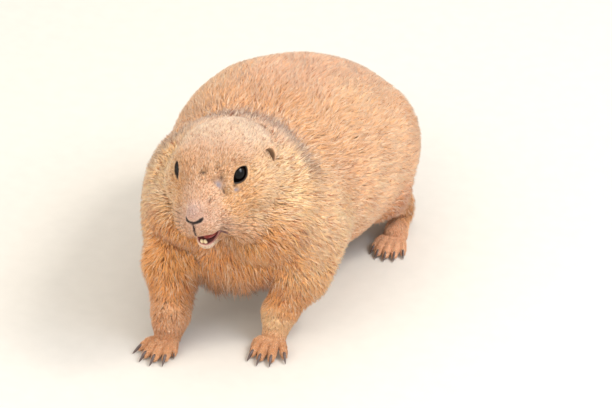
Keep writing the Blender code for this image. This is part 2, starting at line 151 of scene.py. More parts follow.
# Joints with their radii, the fur's lie, then on each rod the coat's depth and the fur's length
headRods = {
    "muzzle": {
        "joints": [((0, 6, -4), 17), ((0, -10, -8), 13.2), ((0, -19, -11), 9.0)],
        "lie": (0, 1, 0.1),
        "depths": (0.9, 0.7),
        "hairs": (2.4, 1.9),
        "blend": 4,
    },
    "jaw": {
        "joints": [((0, 12, -26), 13), ((0, -6, -28), 9.4), ((-0.7, -18.9, -28.4), 6.3)],
        "lie": (0, 1, -0.2),
        "depths": (1.0, 0.5),
        "hairs": (3.0, 2.2),
        "blend": 4,
    },
    "noseBulb": {
        "joints": [((-1.0, -20.5, -7.8), 5.4), ((-1.0, -26.2, -10.0), 5.2)],
        "lie": (0, 1, 0.35),
        "depths": (0.4,),
        "hairs": (1.3,),
        "blend": 2.5,
    },
}
# Joints from the body outwards with the radius at each, and the way the fur lies on the rod from there
limbs = {
    "forelegLeft": [
        ((36, 44, 54), 18, (0.15, 0.45, -1)),
        ((36, 31, 34), 15, (0.05, 0.15, -1)),
        ((28, 21, 15), 9.8, (0, -0.3, -1)),
        ((28, 14, 6), 7.2, None),
    ],
    "forelegRight": [
        ((-35, 36, 54), 17, (-0.15, 0.45, -1)),
        ((-29, 13, 36), 16, (0.05, 0.1, -1)),
        ((-23.5, -3, 15), 10.5, (0, -0.3, -1)),
        ((-23, -8, 6), 7.6, None),
    ],
    "hindLegLeft": [
        ((44, 122, 38), 16, (0.1, 0.6, -1)),
        ((44, 149, 16), 10, (0, 0.3, -1)),
        ((45, 156, 7), 7, (0, -1, -0.4)),
        ((50, 134, 5.5), 7.2, None),
    ],
    "hindLegRight": [
        ((-44, 120, 38), 16, (-0.1, 0.6, -1)),
        ((-44, 147, 16), 10, (0, 0.3, -1)),
        ((-45, 154, 7), 7, (0, -1, -0.4)),
        ((-50, 132, 5.5), 7.2, None),
    ],
}
limbCoat = {"depths": (3.6, 2.4, 0.8), "hairs": (9.5, 6.0, 2.2)}
tailCoat = {"depths": (3.4, 3.5, 3.7, 3.9, 4.0), "hairs": (9, 10, 11, 12, 13)}
toeCoat = {"depths": (0.5, 0.3, 0.22, 0.2), "hairs": (2.0, 1.6, 1.2, 0.9)}
tailRod = [
    ((0, 172, 50), 16),
    ((-2, 197, 35), 11.5),
    ((-8, 218, 20), 11),
    ((-19, 238, 11), 12.5),
    ((-33, 254, 9), 10.5),
    ((-44, 264, 7), 6),
]
feet = {
    "forefootLeft": {"stand": (28.5, 11), "heading": 6, "side": 1, "front": -3, "kind": "fore"},
    "forefootRight": {"stand": (-22.5, -10), "heading": -8, "side": -1, "front": -3, "kind": "fore"},
    "hindFootLeft": {"stand": (50, 131), "heading": 4, "side": 1, "front": -4, "kind": "hind"},
    "hindFootRight": {"stand": (-50, 129), "heading": -4, "side": -1, "front": -4, "kind": "hind"},
}
# One toe: place across the palm, splay in degrees, length, radius
toes = {
    "fore": [
        (-6.6, -26, 5.5, 1.9),
        (-4.6, -14, 12, 2.4),
        (-1.4, -4, 14.5, 2.6),
        (2.0, 6, 14, 2.6),
        (5.2, 24, 10, 2.3),
    ],
    "hind": [
        (-6.0, -16, 8, 2.1),
        (-3.2, -7, 12, 2.4),
        (0, 0, 13, 2.5),
        (3.2, 7, 12, 2.4),
        (6.0, 18, 8, 2.1),
    ],
}
# A toe's bends from inside the palm to the tip: how far ahead, first in mm, then in shares of its
# length; the heights in mm; the radii in shares of its own
toeBends = {
    "ahead": (-5, 0, 0.42, 0.72, 0.95),
    "heights": (4.8, 4.9, 4.7, 3.4, 2.2),
    "radii": (0.95, 0.98, 1.0, 0.96, 0.78),
}
# In mm: how softly a group melts into the rest, and within itself, and how far the melting of the
# solids has lowered it
melting = {
    "trunk": {"blend": 1, "inner": 1, "settle": 0.9},
    "body": {"blend": 12, "inner": 1, "settle": 1.1},
    "head": {"blend": 6, "inner": 1, "settle": 1.0},
    "headRods": {"inner": 2.5, "settle": 0.8},
    "limbs": {"blend": 9, "inner": 5, "settle": 1.3},
    "tail": {"blend": 8, "inner": 6, "settle": 1.2},
    "toes": {"blend": 0.9, "inner": 0.5, "settle": 0.05},
}


# Hermite curve through named values, its slopes the averages of the steps on both sides
def smoothThrough(x, places, values):
    slopes = np.gradient(values, places)
    i = np.clip(np.searchsorted(places, x) - 1, 0, len(places) - 2)
    step = places[i + 1] - places[i]
    t = (x - places[i]) / step
    return (
        values[i] * (2 * t**3 - 3 * t**2 + 1)
        + values[i + 1] * (3 * t**2 - 2 * t**3)
        + step * slopes[i] * (t**3 - 2 * t**2 + t)
        + step * slopes[i + 1] * (t**3 - t**2)
    )


# Distance to a stretched ball: the point over the half sizes has the length n, over their
# squares the length s, and the distance is n times n less one, over s
def ballDistance(points, at, size):
    away = points - at
    near = np.sqrt(((away / size) ** 2).sum(1) + 1e-8)
    steep = np.sqrt(((away / np.square(size)) ** 2).sum(1) + 1e-8)
    return near * (near - 1) / steep


# Distance to a rod whose radius changes evenly: from the nearest point of its middle line
def rodDistance(points, start, end, startRadius, endRadius):
    along = end - start
    t = np.clip((points - start) @ along / (along @ along), 0, 1)
    away = np.linalg.norm(points - start - t[:, None] * along, axis=1)
    return away - (startRadius + (endRadius - startRadius) * t)


trunkNamed = np.array(trunk["sections"], float)
trunkPlaces = np.linspace(trunkNamed[0, 0], trunkNamed[-1, 0], 300)
trunkWidth, trunkTop, trunkBottom = (
    smoothThrough(trunkPlaces, trunkNamed[:, 0], trunkNamed[:, column]) for column in (1, 2, 3)
)


# Distance to the trunk: an ellipse across the body at each place along it, rounded off at both ends
def trunkDistance(points):
    y = np.clip(points[:, 1], trunkPlaces[0], trunkPlaces[-1])
    width = np.interp(y, trunkPlaces, trunkWidth)
    top = np.interp(y, trunkPlaces, trunkTop)
    bottom = np.interp(y, trunkPlaces, trunkBottom)
    high = (top - bottom) / 2
    x = points[:, 0]
    z = points[:, 2] - (top + bottom) / 2
    near = np.sqrt((x / width) ** 2 + (z / high) ** 2 + 1e-8)
    steep = np.sqrt((x / width**2) ** 2 + (z / high**2) ** 2 + 1e-8)
    around = near * (near - 1) / steep
    past = np.maximum(trunkPlaces[0] - points[:, 1], points[:, 1] - trunkPlaces[-1])
    return -softMinimum(-around, -past, 10)


# The smaller of two distances, lowered where they differ by less than the blend: by the square
# of what is left of the blend, over four blends
def softMinimum(a, b, blend):
    left = np.maximum(blend - np.abs(a - b), 0)
    return np.minimum(a, b) - left * left / (4 * blend)


# The larger of two distances, raised in the same way
def softMaximum(a, b, blend):
    return -softMinimum(-a, -b, blend)


# A point of the palm's frame in the stance frame: across outwards, ahead, up
def onFoot(foot, across, ahead, up):
    turn = math.radians(foot["heading"])
    x = foot["side"] * across
    return np.array(
        (
            foot["stand"][0] + x * math.cos(turn) + ahead * math.sin(turn),
            foot["stand"][1] + x * math.sin(turn) - ahead * math.cos(turn),
            up,
        )
    )


# The bends of one toe or claw: ahead of its root along its own splay, at the given heights
def alongToe(foot, toe, ahead, heights):
    splay = math.radians(toe[1])
    return np.array(
        [
            onFoot(foot, toe[0] + far * math.sin(splay), -foot["front"] + far * math.cos(splay), high)
            for far, high in zip(ahead, heights)
        ]
    )


flesh = []


# A group of masses blends within itself first, then with the rest. Each mass keeps its distance,
# its lie, and the coat's depth and length.
def addGroup(masses, blend, inner, settle, inHead=False):
    kept = []
    for distance, lie, depth, hair in masses:
        lie = np.array(lie, float)
        if inHead:
            lie = headTurn @ lie
        kept.append((distance, lie / np.linalg.norm(lie), depth, hair))
    flesh.append((kept, blend, inner, settle, inHead))


# Each row of a table as a stretched ball, and its mirror image where it isn't in the middle
def addBalls(table, melt, inHead=False):
    for at, size, lie, depth, hair in table.values():
        for side in (1, -1) if at[0] else (1,):
            centre = np.array((side * at[0], at[1], at[2]), float)
            half = np.array(size, float)
            mass = (
                lambda p, c=centre, h=half: ballDistance(p, c, h),
                (side * lie[0], *lie[1:]),
                depth,
                hair,
            )
            addGroup([mass], **melt, inHead=inHead)


# Rods from joint to joint; where no lie is given, the fur lies along each rod
def addRods(joints, lies, depths, hairs, inHead=False, **melt):
    masses = []
    for i, (start, end) in enumerate(zip(joints, joints[1:])):
        startPlace, endPlace = np.array(start[0], float), np.array(end[0], float)
        masses.append(
            (
                lambda p, s=startPlace, e=endPlace, a=start[1], b=end[1]: rodDistance(p, s, e, a, b),
                endPlace - startPlace if lies is None else lies[i],
                depths[i],
                hairs[i],
            )
        )
    addGroup(masses, **melt, inHead=inHead)


addGroup([(trunkDistance, trunk["lie"], trunk["depth"], trunk["hair"])], **melting["trunk"])
addBalls(bodyMasses, melting["body"])
addBalls(headMasses, melting["head"], True)
for rod in headRods.values():
    lies = [rod["lie"]] * len(rod["depths"])
    addRods(rod["joints"], lies, rod["depths"], rod["hairs"], True, blend=rod["blend"], **melting["headRods"])
for joints in limbs.values():
    addRods(joints, [joint[2] for joint in joints], **limbCoat, **melting["limbs"])
addRods(tailRod, None, **tailCoat, **melting["tail"])
for foot in feet.values():
    for toe in toes[foot["kind"]]:
        length, radius = toe[2:]
        ahead = np.array(toeBends["ahead"]) * np.array((1, 1, length, length, length))
        bends = alongToe(foot, toe, ahead, toeBends["heights"])
        radii = radius * np.array(toeBends["radii"])
        addRods(list(zip(bends, radii)), None, **toeCoat, **melting["toes"])


# The flesh's distance at each point, with the coat's depth there and, when wanted, the fur's length
# and lie. The coat mixes over the masses: each counts by e to the power of minus its distance over 3 mm.
def readFlesh(points, wantCoat=False):
    inHead = toHead(points)
    surface = np.full(len(points), 1e3)
    total = np.zeros(len(points))
    depth = np.zeros(len(points))
    settled = np.zeros(len(points))
    hair = np.zeros(len(points))
    lie = np.zeros((len(points), 3))
    for masses, blend, inner, settle, useHead in flesh:
        group = None
        for distance, way, deep, long in masses:
            away = distance(inHead if useHead else points)
            group = away if group is None else softMinimum(group, away, inner)
            weight = np.exp(-np.clip(away, -4, 60) / 3)
            total += weight
            depth += weight * deep
            settled += weight * settle
            if wantCoat:
                hair += weight * long
                lie += weight[:, None] * way
        surface = softMinimum(surface, group, blend)
    depth /= total
    surface += settled / total
    if wantCoat:
        return surface, depth, hair / total, unit(lie)
    return surface, depth


# The eye's own frame in the head: along the line between the corners, across it, and the gaze
def eyeFrame(side):
    gaze = unit(np.array((side * eye["gaze"][0], *eye["gaze"][1:])))
    across = unit(np.array((0, 1.0, 0)) - gaze * gaze[1])
    up = np.cross(across, gaze)
    up = up if up[2] > 0 else -up
    tilt = math.radians(eye["tilt"])
    along = across * math.cos(tilt) + up * math.sin(tilt)
    return np.array((side * eye["centre"][0], *eye["centre"][1:])), along, np.cross(gaze, along), gaze


# Distance to the almond between the lids: the part two equal circles share
def almondDistance(along, other, length, width):
    radius = (length**2 + width**2) / (4 * width)
    shift = radius - width / 2
    return np.maximum(np.hypot(along, other - shift), np.hypot(along, other + shift)) - radius


# The turn by three angles in degrees, mirrored for the right side
def sideTurn(side, degrees):
    angles = (degrees[0], side * degrees[1], side * degrees[2])
    return np.array(Euler([math.radians(angle) for angle in angles]).to_matrix())


# Points of the muzzle's front at given places across and up in the head, stepped back from ahead
# until the flesh is reached
def onMuzzle(line, side, middle):
    line = np.array(line, float)
    places = np.stack((side * line[:, 0] + middle, np.full(len(line), -42.0), line[:, 1]), 1)
    for step in range(40):
        places[:, 1] += np.clip(readFlesh(fromHead(places))[0] * 0.8, -1, 3)
    return places


nostrilLines = {side: onMuzzle(nose["nostril"], side, nose["middle"]) for side in (1, -1)}
philtrumLine = onMuzzle(nose["philtrum"], 1, nose["middle"])


# The skin: the flesh less the coat's depth, which thins out towards the eyes and the nose, with
# the floor cut off flat
def skinField(points):
    surface, depth = readFlesh(points)
    inHead = toHead(points)
    bare = np.ones(len(points))
    for side in (1, -1):
        centre = eyeFrame(side)[0]
        bare = np.minimum(bare, np.clip((np.linalg.norm(inHead - centre, axis=1) - 5.0) / 9, 0.2, 1))
    bare = np.minimum(bare, np.clip((np.linalg.norm(inHead - philtrumLine[0], axis=1) - 3) / 12, 0.1, 1))
    skin = surface + depth * bare
    near = inHead[:, 1] < 45
    if near.any():
        skin[near] = faceField(inHead[near], skin[near])
    floorGap = -points[:, 2] + 0.05
    return softMaximum(skin, floorGap, edges["floor"])


# The skin of the face, with its lids, sockets, nostrils, creases, lip line and mouth
def faceField(inHead, skin):
    for side in (1, -1):
        centre, along, other, gaze = eyeFrame(side)
        away = inHead - centre
        reach = np.linalg.norm(away, axis=1)
        skin = softMinimum(skin, reach - eye["lidRadius"], edges["lids"])
        skin = np.maximum(skin, eye["radius"] + edges["eyeGap"] - reach)
        almond = almondDistance(away @ along, away @ other, *eye["opening"])
        skin = softMaximum(skin, -np.maximum(almond, 1.0 - away @ gaze), edges["eyeOpening"])
        skin = softMaximum(skin, -nostrilDistance(inHead, side), edges["nostril"])
        start, end = (np.array((side * x + nose["middle"], y, z)) for x, y, z in nose["crease"])
        skin = softMaximum(skin, -rodDistance(inHead, start, end, *nose["creaseRadii"]), edges["crease"])
    skin = softMaximum(skin, -lipSlit(inHead), edges["groove"])
    return softMaximum(skin, -mouthDistance(inHead), edges["mouth"])


# The nearest of the rods between the points of a line on the muzzle
def lineDistance(inHead, places, widths):
    near = np.full(len(inHead), 1e3)
    for start, end, wide, wideEnd in zip(places, places[1:], widths, widths[1:]):
        near = np.minimum(near, rodDistance(inHead, start, end, wide, wideEnd))
    return near


# The slit of one nostril
def nostrilDistance(inHead, side):
    return lineDistance(inHead, nostrilLines[side], [place[2] for place in nose["nostril"]])


# The groove below the nose
def lipSlit(inHead):
    return lineDistance(inHead, philtrumLine, [place[2] for place in nose["philtrum"]])


# The bare lip at the mouth's left corner
def lipDistance(inHead):
    return ballDistance(inHead, *(np.array(v) for v in mouth["lip"]))


# The mouth's opening: three stretched balls, melted together
def mouthDistance(inHead):
    within, corner, front = (
        ballDistance(inHead, *(np.array(v) for v in mouth[name])) for name in ("within", "corner", "front")
    )
    blend = edges["mouthParts"]
    return softMinimum(softMinimum(within, corner, blend), front, blend)


# Places along one axis, in stretches of even steps
def axisSteps(*stretches):
    return np.concatenate([np.arange(start, end, step) for start, end, step in stretches])


# A skin over the zero of a field on an uneven grid. Each cell that the field's sign changes in
# holds one point, the mean of the crossings on its edges, and each grid edge that is crossed
# gives the face between its four cells.
def netOver(field, xs, ys, zs):
    shape = (len(xs), len(ys), len(zs))
    coarse = [axis[::4] for axis in (xs, ys, zs)]
    spans = [np.gradient(axis) for axis in coarse]
    places = np.stack(np.meshgrid(*coarse, indexing="ij"), -1).reshape(-1, 3)
    reach = np.sqrt(sum(span**2 for span in np.meshgrid(*spans, indexing="ij")))
    rough = field(places).reshape(reach.shape)
    sign = np.sign(rough)
    nearest = np.pad(np.abs(rough), ((0, 1),) * 3, mode="edge")
    for axis in range(3):
        nearest = np.minimum(nearest, np.roll(nearest, -1, axis))
    close = nearest[:-1, :-1, :-1] < 0.62 * reach + 0.6

    def spread(block):
        for axis in range(3):
            block = np.repeat(block, 4, axis)
        return block[: shape[0], : shape[1], : shape[2]]

    value = spread(sign).astype(np.float32) * 9
    i, j, k = np.nonzero(spread(close))
    print("  grid", shape, "points near the skin", len(i))
    for start in range(0, len(i), 200000):
        part = slice(start, start + 200000)
        value[i[part], j[part], k[part]] = field(np.stack((xs[i[part]], ys[j[part]], zs[k[part]]), 1))
    inside = value < 0
    count = np.zeros(tuple(n - 1 for n in shape), np.int8)
    corners = [(a, b, c) for a in (0, 1) for b in (0, 1) for c in (0, 1)]
    for a, b, c in corners:
        count += inside[a : shape[0] - 1 + a, b : shape[1] - 1 + b, c : shape[2] - 1 + c]
    cells = np.argwhere((count > 0) & (count < 8))
    number = np.full(count.shape, -1, np.int32)
    number[tuple(cells.T)] = np.arange(len(cells))
    total = np.zeros((len(cells), 3))
    crossings = np.zeros(len(cells))
    for axis in range(3):
        step = np.eye(3, dtype=int)[axis]
        for corner in corners:
            if corner[axis]:
                continue
            near = cells + corner
            far = near + step
            a, b = value[tuple(near.T)], value[tuple(far.T)]
            cut = (a < 0) != (b < 0)
            t = np.where(cut, a / np.where(cut, a - b, 1), 0)
            total += np.where(cut[:, None], near + t[:, None] * step, 0)
            crossings += cut
    total /= crossings[:, None]
    columns = [np.interp(total[:, n], np.arange(shape[n]), axis) for n, axis in enumerate((xs, ys, zs))]
    points = np.stack(columns, 1)
    quads = []
    for axis in range(3):
        ends = [slice(1, -1)] * 3
        first, second = list(ends), list(ends)
        first[axis], second[axis] = slice(0, -1), slice(1, None)
        a, b = inside[tuple(first)], inside[tuple(second)]
        at = np.argwhere(a != b)
        other = [n for n in range(3) if n != axis]
        at[:, other] += 1
        outwards = inside[tuple(at.T)]
        ring = []
        for du, dv in ((-1, -1), (0, -1), (0, 0), (-1, 0)):
            cell = at.copy()
            cell[:, other[0]] += du
            cell[:, other[1]] += dv
            ring.append(number[tuple(cell.T)])
        ring = np.stack(ring, 1)
        if axis == 1:
            outwards = ~outwards
        ring[~outwards] = ring[~outwards][:, ::-1]
        quads.append(ring)
    quads = np.concatenate(quads)
    return points, quads[(quads >= 0).all(1)]


# Slope of a field, from its differences a quarter of a millimetre to both sides
def slopeOf(field, points, step=0.25):
    slope = np.empty((len(points), 3))
    for axis in range(3):
        shift = np.eye(3)[axis] * step
        slope[:, axis] = (field(points + shift) - field(points - shift)) / (2 * step)
    return slope


# Work on many points, a part of them at a time
def inChunks(work, points, size=100000):
    parts = [work(points[start : start + size]) for start in range(0, len(points), size)]
    if isinstance(parts[0], tuple):
        return tuple(np.concatenate(column) for column in zip(*parts))
    return np.concatenate(parts)


# The model's frame: the left eye of this file goes to the middle of the frame's left eye
eyeMiddle = fromHead(np.array([eye["centre"]]))[0]
eyeBox = np.array(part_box("eye_left"))
modelShift = eyeBox.mean(0) * 1000 - eyeMiddle


# Stance millimetres to metres of the model's frame
def toModel(points):
    return (points + modelShift) * 0.001


# An sRGB hex value as linear light
def linear(hexColour):
    channels = np.array([int(hexColour[i : i + 2], 16) / 255 for i in (0, 2, 4)])
    return np.where(channels <= 0.04045, channels / 12.92, ((channels + 0.055) / 1.055) ** 2.4)


# A finished piece at the origin, from places in the stance frame and triangles or quads
def addPiece(name, points, faces, material, colours=None):
    mesh = bpy.data.meshes.new(name)
    faces = np.asarray(faces)
    mesh.vertices.add(len(points))
    mesh.vertices.foreach_set("co", toModel(points).astype(np.float32).ravel())
    mesh.loops.add(faces.size)
    mesh.loops.foreach_set("vertex_index", faces.astype(np.int32).ravel())
    mesh.polygons.add(len(faces))
    sides = faces.shape[1]
    mesh.polygons.foreach_set("loop_start", np.arange(0, faces.size, sides, dtype=np.int32))
    mesh.update(calc_edges=True)
    if colours is not None:
        store = mesh.color_attributes.new("coat", "FLOAT_COLOR", "POINT")
        rgba = np.ones((len(points), 4), np.float32)
        rgba[:, :3] = colours
        store.data.foreach_set("color", rgba.ravel())
    mesh.shade_smooth()
    mesh.materials.append(material)
    piece = bpy.data.objects.new(name, mesh)
    bpy.context.scene.collection.objects.link(piece)
    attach(piece, "root")
    return piece


# A node with its settings, the sockets it is fed from, and its fixed values
def addNode(tree, kind, settings=None, links=None, values=None):
    node = tree.nodes.new(kind)
    for key, value in (settings or {}).items():
        setattr(node, key, value)
    for socket, value in (values or {}).items():
        node.inputs[socket].default_value = value
    for socket, source in (links or {}).items():
        tree.links.new(source, node.inputs[socket])
    return node


# A material with constants on its shader's sockets
def newMaterial(name, values):
    material = bpy.data.materials.new(name)
    material.use_nodes = True
    shader = material.node_tree.nodes["Principled BSDF"]
    for socket, value in values.items():
        shader.inputs[socket].default_value = value
    return material, material.node_tree, shader


# The coat colour of the mesh, made brighter and duller by a pattern between two ends
def unevenCoat(tree, shader, pattern, ends):
    coat = addNode(tree, "ShaderNodeAttribute", {"attribute_name": "coat"})
    uneven = addNode(tree, "ShaderNodeMapRange", None, {"Value": pattern}, ends)
    colour = addNode(
        tree,
        "ShaderNodeVectorMath",
        {"operation": "SCALE"},
        {0: coat.outputs["Color"], "Scale": uneven.outputs["Result"]},
    )
    tree.links.new(colour.outputs["Vector"], shader.inputs["Base Color"])


# Pattern sizes in millimetres: unevenness along a strand, skin's pores and its broader patches, the
# iris's threads
grains = {"strand": 0.909, "pore": 0.6667, "patch": 3.125, "thread": 0.5263}


def furMaterial():
    # Guard hairs: dull sandy strands, their colour uneven along each strand, a soft pale sheen
    material, tree, shader = newMaterial(
        "guard hair",
        {"Roughness": 0.62, "Specular IOR Level": 0.3, "Sheen Weight": 0.18, "Sheen Roughness": 0.45},
    )
    place = addNode(tree, "ShaderNodeTexCoord").outputs["Object"]
    scale = {"Scale": 1000 / grains["strand"], "Detail": 2.0}
    streak = addNode(tree, "ShaderNodeTexNoise", None, {"Vector": place}, scale)
    unevenCoat(tree, shader, streak.outputs["Fac"], {"To Min": 0.86, "To Max": 1.14})
    return material


def skinMaterial():
    # Skin with its shortest fur: matt, pored, finely streaked under the coat
    material, tree, shader = newMaterial(
        "short fur on skin", {"Roughness": 0.72, "Specular IOR Level": 0.3, "Sheen Weight": 0.12}
    )
    place = addNode(tree, "ShaderNodeTexCoord").outputs["Object"]
    fineScale = {"Scale": 1000 / grains["pore"], "Detail": 3.0}
    fine = addNode(tree, "ShaderNodeTexNoise", None, {"Vector": place}, fineScale)
    broadScale = {"Scale": 1000 / grains["patch"], "Detail": 2.0}
    broad = addNode(tree, "ShaderNodeTexNoise", None, {"Vector": place}, broadScale)
    noises = {0: fine.outputs["Fac"], 1: broad.outputs["Fac"]}
    both = addNode(tree, "ShaderNodeMath", {"operation": "ADD"}, noises).outputs["Value"]
    unevenCoat(tree, shader, both, {"From Min": 0.6, "From Max": 1.4, "To Min": 0.78, "To Max": 1.16})
    bump = addNode(tree, "ShaderNodeBump", None, {"Height": both}, {"Strength": 0.55, "Distance": 0.00025})
    tree.links.new(bump.outputs["Normal"], shader.inputs["Normal"])
    return material


def eyeMaterial():
    # Living eye: a nearly black iris under a wet clear cornea
    material, tree, shader = newMaterial(
        "wet eye", {"Roughness": 0.4, "Specular IOR Level": 0.0, "Coat Weight": 0.42, "Coat Roughness": 0.03}
    )
    place = addNode(tree, "ShaderNodeTexCoord").outputs["Object"]
    scale = {"Scale": 1000 / grains["thread"], "Detail": 2.0}
    threads = addNode(tree, "ShaderNodeTexNoise", None, {"Vector": place}, scale)
    unevenCoat(tree, shader, threads.outputs["Fac"], {"To Min": 0.6, "To Max": 1.4})
    return material


# One stuff in two tones, mixed by noise of a grain size in millimetres, with bump of the same noise
def twoToned(name, dark, light, grain, roughness, bumpHeight, coatWeight=0.0):
    material, tree, shader = newMaterial(
        name,
        {
            "Roughness": roughness,
            "Specular IOR Level": 0.4,
            "Coat Weight": coatWeight,
            "Coat Roughness": 0.15,
        },
    )
    place = addNode(tree, "ShaderNodeTexCoord").outputs["Object"]
    scale = {"Scale": 1000.0 / grain, "Detail": 3.0}
    noise = addNode(tree, "ShaderNodeTexNoise", None, {"Vector": place}, scale).outputs["Fac"]
    ends = {"A": (*linear(dark), 1), "B": (*linear(light), 1)}
    tones = addNode(tree, "ShaderNodeMix", {"data_type": "RGBA"}, {"Factor": noise}, ends)
    height = {"Strength": 0.4, "Distance": bumpHeight * 0.001}
    bump = addNode(tree, "ShaderNodeBump", None, {"Height": noise}, height)
    tree.links.new(tones.outputs["Result"], shader.inputs["Base Color"])
    tree.links.new(bump.outputs["Normal"], shader.inputs["Normal"])
    return material


materials = {
    "fur": furMaterial(),
    "skin": skinMaterial(),
    "eye": eyeMaterial(),
    # Bare lid: nearly black and finely wrinkled, moist enough for a soft gleam
    "lid": twoToned("lid skin", "140D0A", "2C1E19", 0.7, 0.45, 0.08, 0.1),
    # Tooth enamel: cream with yellower clouds, smooth and wet
    "enamel": twoToned("incisor enamel", "D8BE8C", "F0E2C0", 1.4, 0.3, 0.05, 0.4),
    # Mucous skin: dark rose, grainy, with bright wet points
    "tongue": twoToned("wet tongue", "8E3A34", "B8605A", 0.8, 0.3, 0.12, 0.6),
    # Horn worn by digging: grey brown with paler streaks, a dull polish
    "claw": twoToned("claw horn", "3A302E", "6E5C58", 1.6, 0.38, 0.06, 0.2),
    # A stiff hair: dark and smooth, its pale stretches as long as they have to be to show
    "whisker": twoToned("whisker", "2E2420", "5A463A", 3.0, 0.45, 0.01),
    # Painted board: matt, very faintly clouded
    "floor": twoToned("pale floor", "D0CCC5", "D7D3CC", 9.0, 0.85, 0.05),
}


print("skin")
# The net's grid in stretches with their steps, finest over the face, then over the feet
xs = axisSteps((-72, -60, 1.8), (-60, -20, 1.15), (-20, 21, 0.7), (21, 60, 1.15), (60, 74, 1.8))
ys = axisSteps((-44, 10, 0.72), (10, 100, 1.6), (100, 142, 1.1), (142, 292, 2.0))
zs = axisSteps((-2.4, 13, 0.85), (13, 70, 1.7), (70, 126, 0.75))
skinPoints, skinFaces = netOver(skinField, xs, ys, zs)
# The net's points are moved onto the skin twice: against the field's slope, by the field over the
# slope's length squared, at most half a millimetre
for turn in range(2):
    value = inChunks(skinField, skinPoints)
    slope = inChunks(lambda p: slopeOf(skinField, p), skinPoints)
    steep = np.maximum((slope**2).sum(1), 0.2)
    move = -(value / steep)[:, None] * slope
    length = np.linalg.norm(move, axis=1, keepdims=True)
    skinPoints = skinPoints + move * np.minimum(1, 0.5 / np.maximum(length, 1e-9))
skinNormals = unit(slope)
skinDepth, skinHair, skinLie = inChunks(lambda p: readFlesh(p, True), skinPoints)[1:]
print("  points", len(skinPoints), "triangles", 2 * len(skinFaces))

# Places on the animal with their fur's colour: name, place, reach, colour. Pairs are mirrored.
headColours = [
    ("crown", (0, 28, 12), 15, "DDBEA2"),
    ("forehead", (0, 2, 9), 10, "D0A684"),
    ("brow", (10, -5, 6), 6, "C8986C"),
    ("betweenEyes", (0, -8, 4), 7, "C8986C"),
    ("noseBridge", (0, -20, -2), 7, "DCB394"),
    ("noseTip", (0, -29, -8), 5, "BE9886"),
    ("whiskerPad", (6, -26, -15), 6, "C89E80"),
    ("underEye", (15, -8, -8), 7, "D09E6A"),
    ("cheek", (26, 8, -14), 11, "E0B88C"),
    ("cheekBack", (30, 24, -18), 12, "E0B888"),
    ("fringe", (24, 38, -4), 8, "DAB69A"),
    ("fringeTop", (0, 42, 8), 9, "E0BCA2"),
    ("chin", (7, -10, -31), 7, "D6A47A"),
    ("chinTip", (-1, -21, -33), 4, "E8D0BC"),
    # The throat's darker colour is painted shade under the jaw
    ("throat", (0, 12, -38), 9, "B48A6A"),
    ("aroundEar", (25, 24, 2), 5, "DCB896"),
]
bodyColours = [
    ("backFront", (0, 66, 112), 16, "D29E70"),
    ("backMiddle", (0, 96, 113), 20, "D8A680"),
    ("backRear", (0, 136, 104), 22, "DCAA84"),
    ("shoulderTop", (32, 58, 98), 16, "D4A274"),
    ("flankTop", (44, 96, 96), 20, "DEAE80"),
    ("flank", (60, 92, 60), 24, "E6B68C"),
    ("flankLow", (50, 88, 26), 16, "DC9E66"),
    ("haunch", (52, 134, 70), 20, "DCA87A"),
    # Low on the haunch: partly the fur's own rust, partly painted shade
    ("haunchLow", (57, 112, 36), 9, "BE7440"),
    ("rump", (0, 172, 66), 20, "DDAA80"),
    ("belly", (0, 96, 10), 22, "E0BA92"),
    ("chestSide", (24, 12, 58), 13, "DE9E5E"),
    ("chest", (0, 6, 46), 12, "DC9A5C"),
    # Painted shade at the bottom of the chest, between the forelegs
    ("shadeUnderChest", (2, 12, 28), 8, "7C4E34"),
    ("shoulder", (46, 36, 62), 16, "EABA8C"),
    ("shoulderLow", (42, 28, 44), 10, "E4AE74"),
    ("forearmInner", (22, 14, 34), 7, "C2824E"),
    ("foreleg", (33, 22, 26), 9, "DA9A5E"),
    ("wrist", (27, 12, 14), 7, "EABE90"),
    ("forefoot", (28, 0, 4), 9, "D0986C"),
    ("hindLeg", (46, 148, 20), 9, "CC9460"),
    ("hindFoot", (50, 126, 6), 10, "E8B088"),
    ("tailRoot", (0, 192, 42), 14, "C89866"),
    ("tailMiddle", (-8, 222, 22), 14, "B58454"),
    ("tailBrush", (-24, 246, 12), 10, "7A5638"),
    ("tailTip", (-42, 264, 8), 14, "46321F"),
]

# Small marks on the left of the face: place, half sizes, colour, how strongly it shows
faceMarks = [
    ("healedGraze", (8.6, -12.6, 1.3), (2.2, 1.9, 2.8), "918A92", 0.95),
    ("grazeFront", (6.4, -13.4, 3.6), (1.0, 1.3, 1.8), "4E3226", 0.9),
    ("grazeTop", (9.5, -9.8, 4.0), (1.2, 1.6, 2.1), "3A2219", 1.0),
    ("grazeBack", (10.8, -12.9, -2.6), (1.1, 1.5, 2.2), "4A3128", 1.0),
    ("browTick", (6.6, -6.9, 6.9), (0.9, 1.3, 1.5), "4E3122", 1.0),
    ("browSpot", (0.4, -10.4, 6.3), (1.7, 1.7, 1.7), "2A1812", 1.0),
    ("lowerGraze", (15.5, -8.2, -4.6), (2.2, 1.7, 1.2), "8E8790", 0.95),
    ("innerCorner", (14.7, -7.4, -2.2), (1.6, 1.5, 0.9), "4A3024", 0.9),
    # Painted shade along the furrow from the eye's top corner back to the ear
    ("furrowShade", (20.5, 8.5, 4.6), (2.6, 5.0, 1.1), "A8744A", 0.6),
    ("nosePad", (-2.4, -27.0, -5.6), (5.0, 4.6, 4.0), "C0A29A", 0.7),
]
# The planes that the solids are parted with: a place on each, and the way off the body
cuts = {
    "head": ((0, 46, 118), (0, -0.818, 0.576)),
    "neck": ((0, 70, 122), (0, -0.87, 0.49)),
    "tail": ((0, 190, 44), (0, 0.8, -0.6)),
}


plainFur = "DDB083"  # where no named place is near
# Darker hair and painted shadow on the nape, just behind the head's fringe
napeHairAndShadow = {"behind": 5.0, "spread": 3.6, "from": 78, "full": 96, "colour": "8A6C60", "share": 0.75}
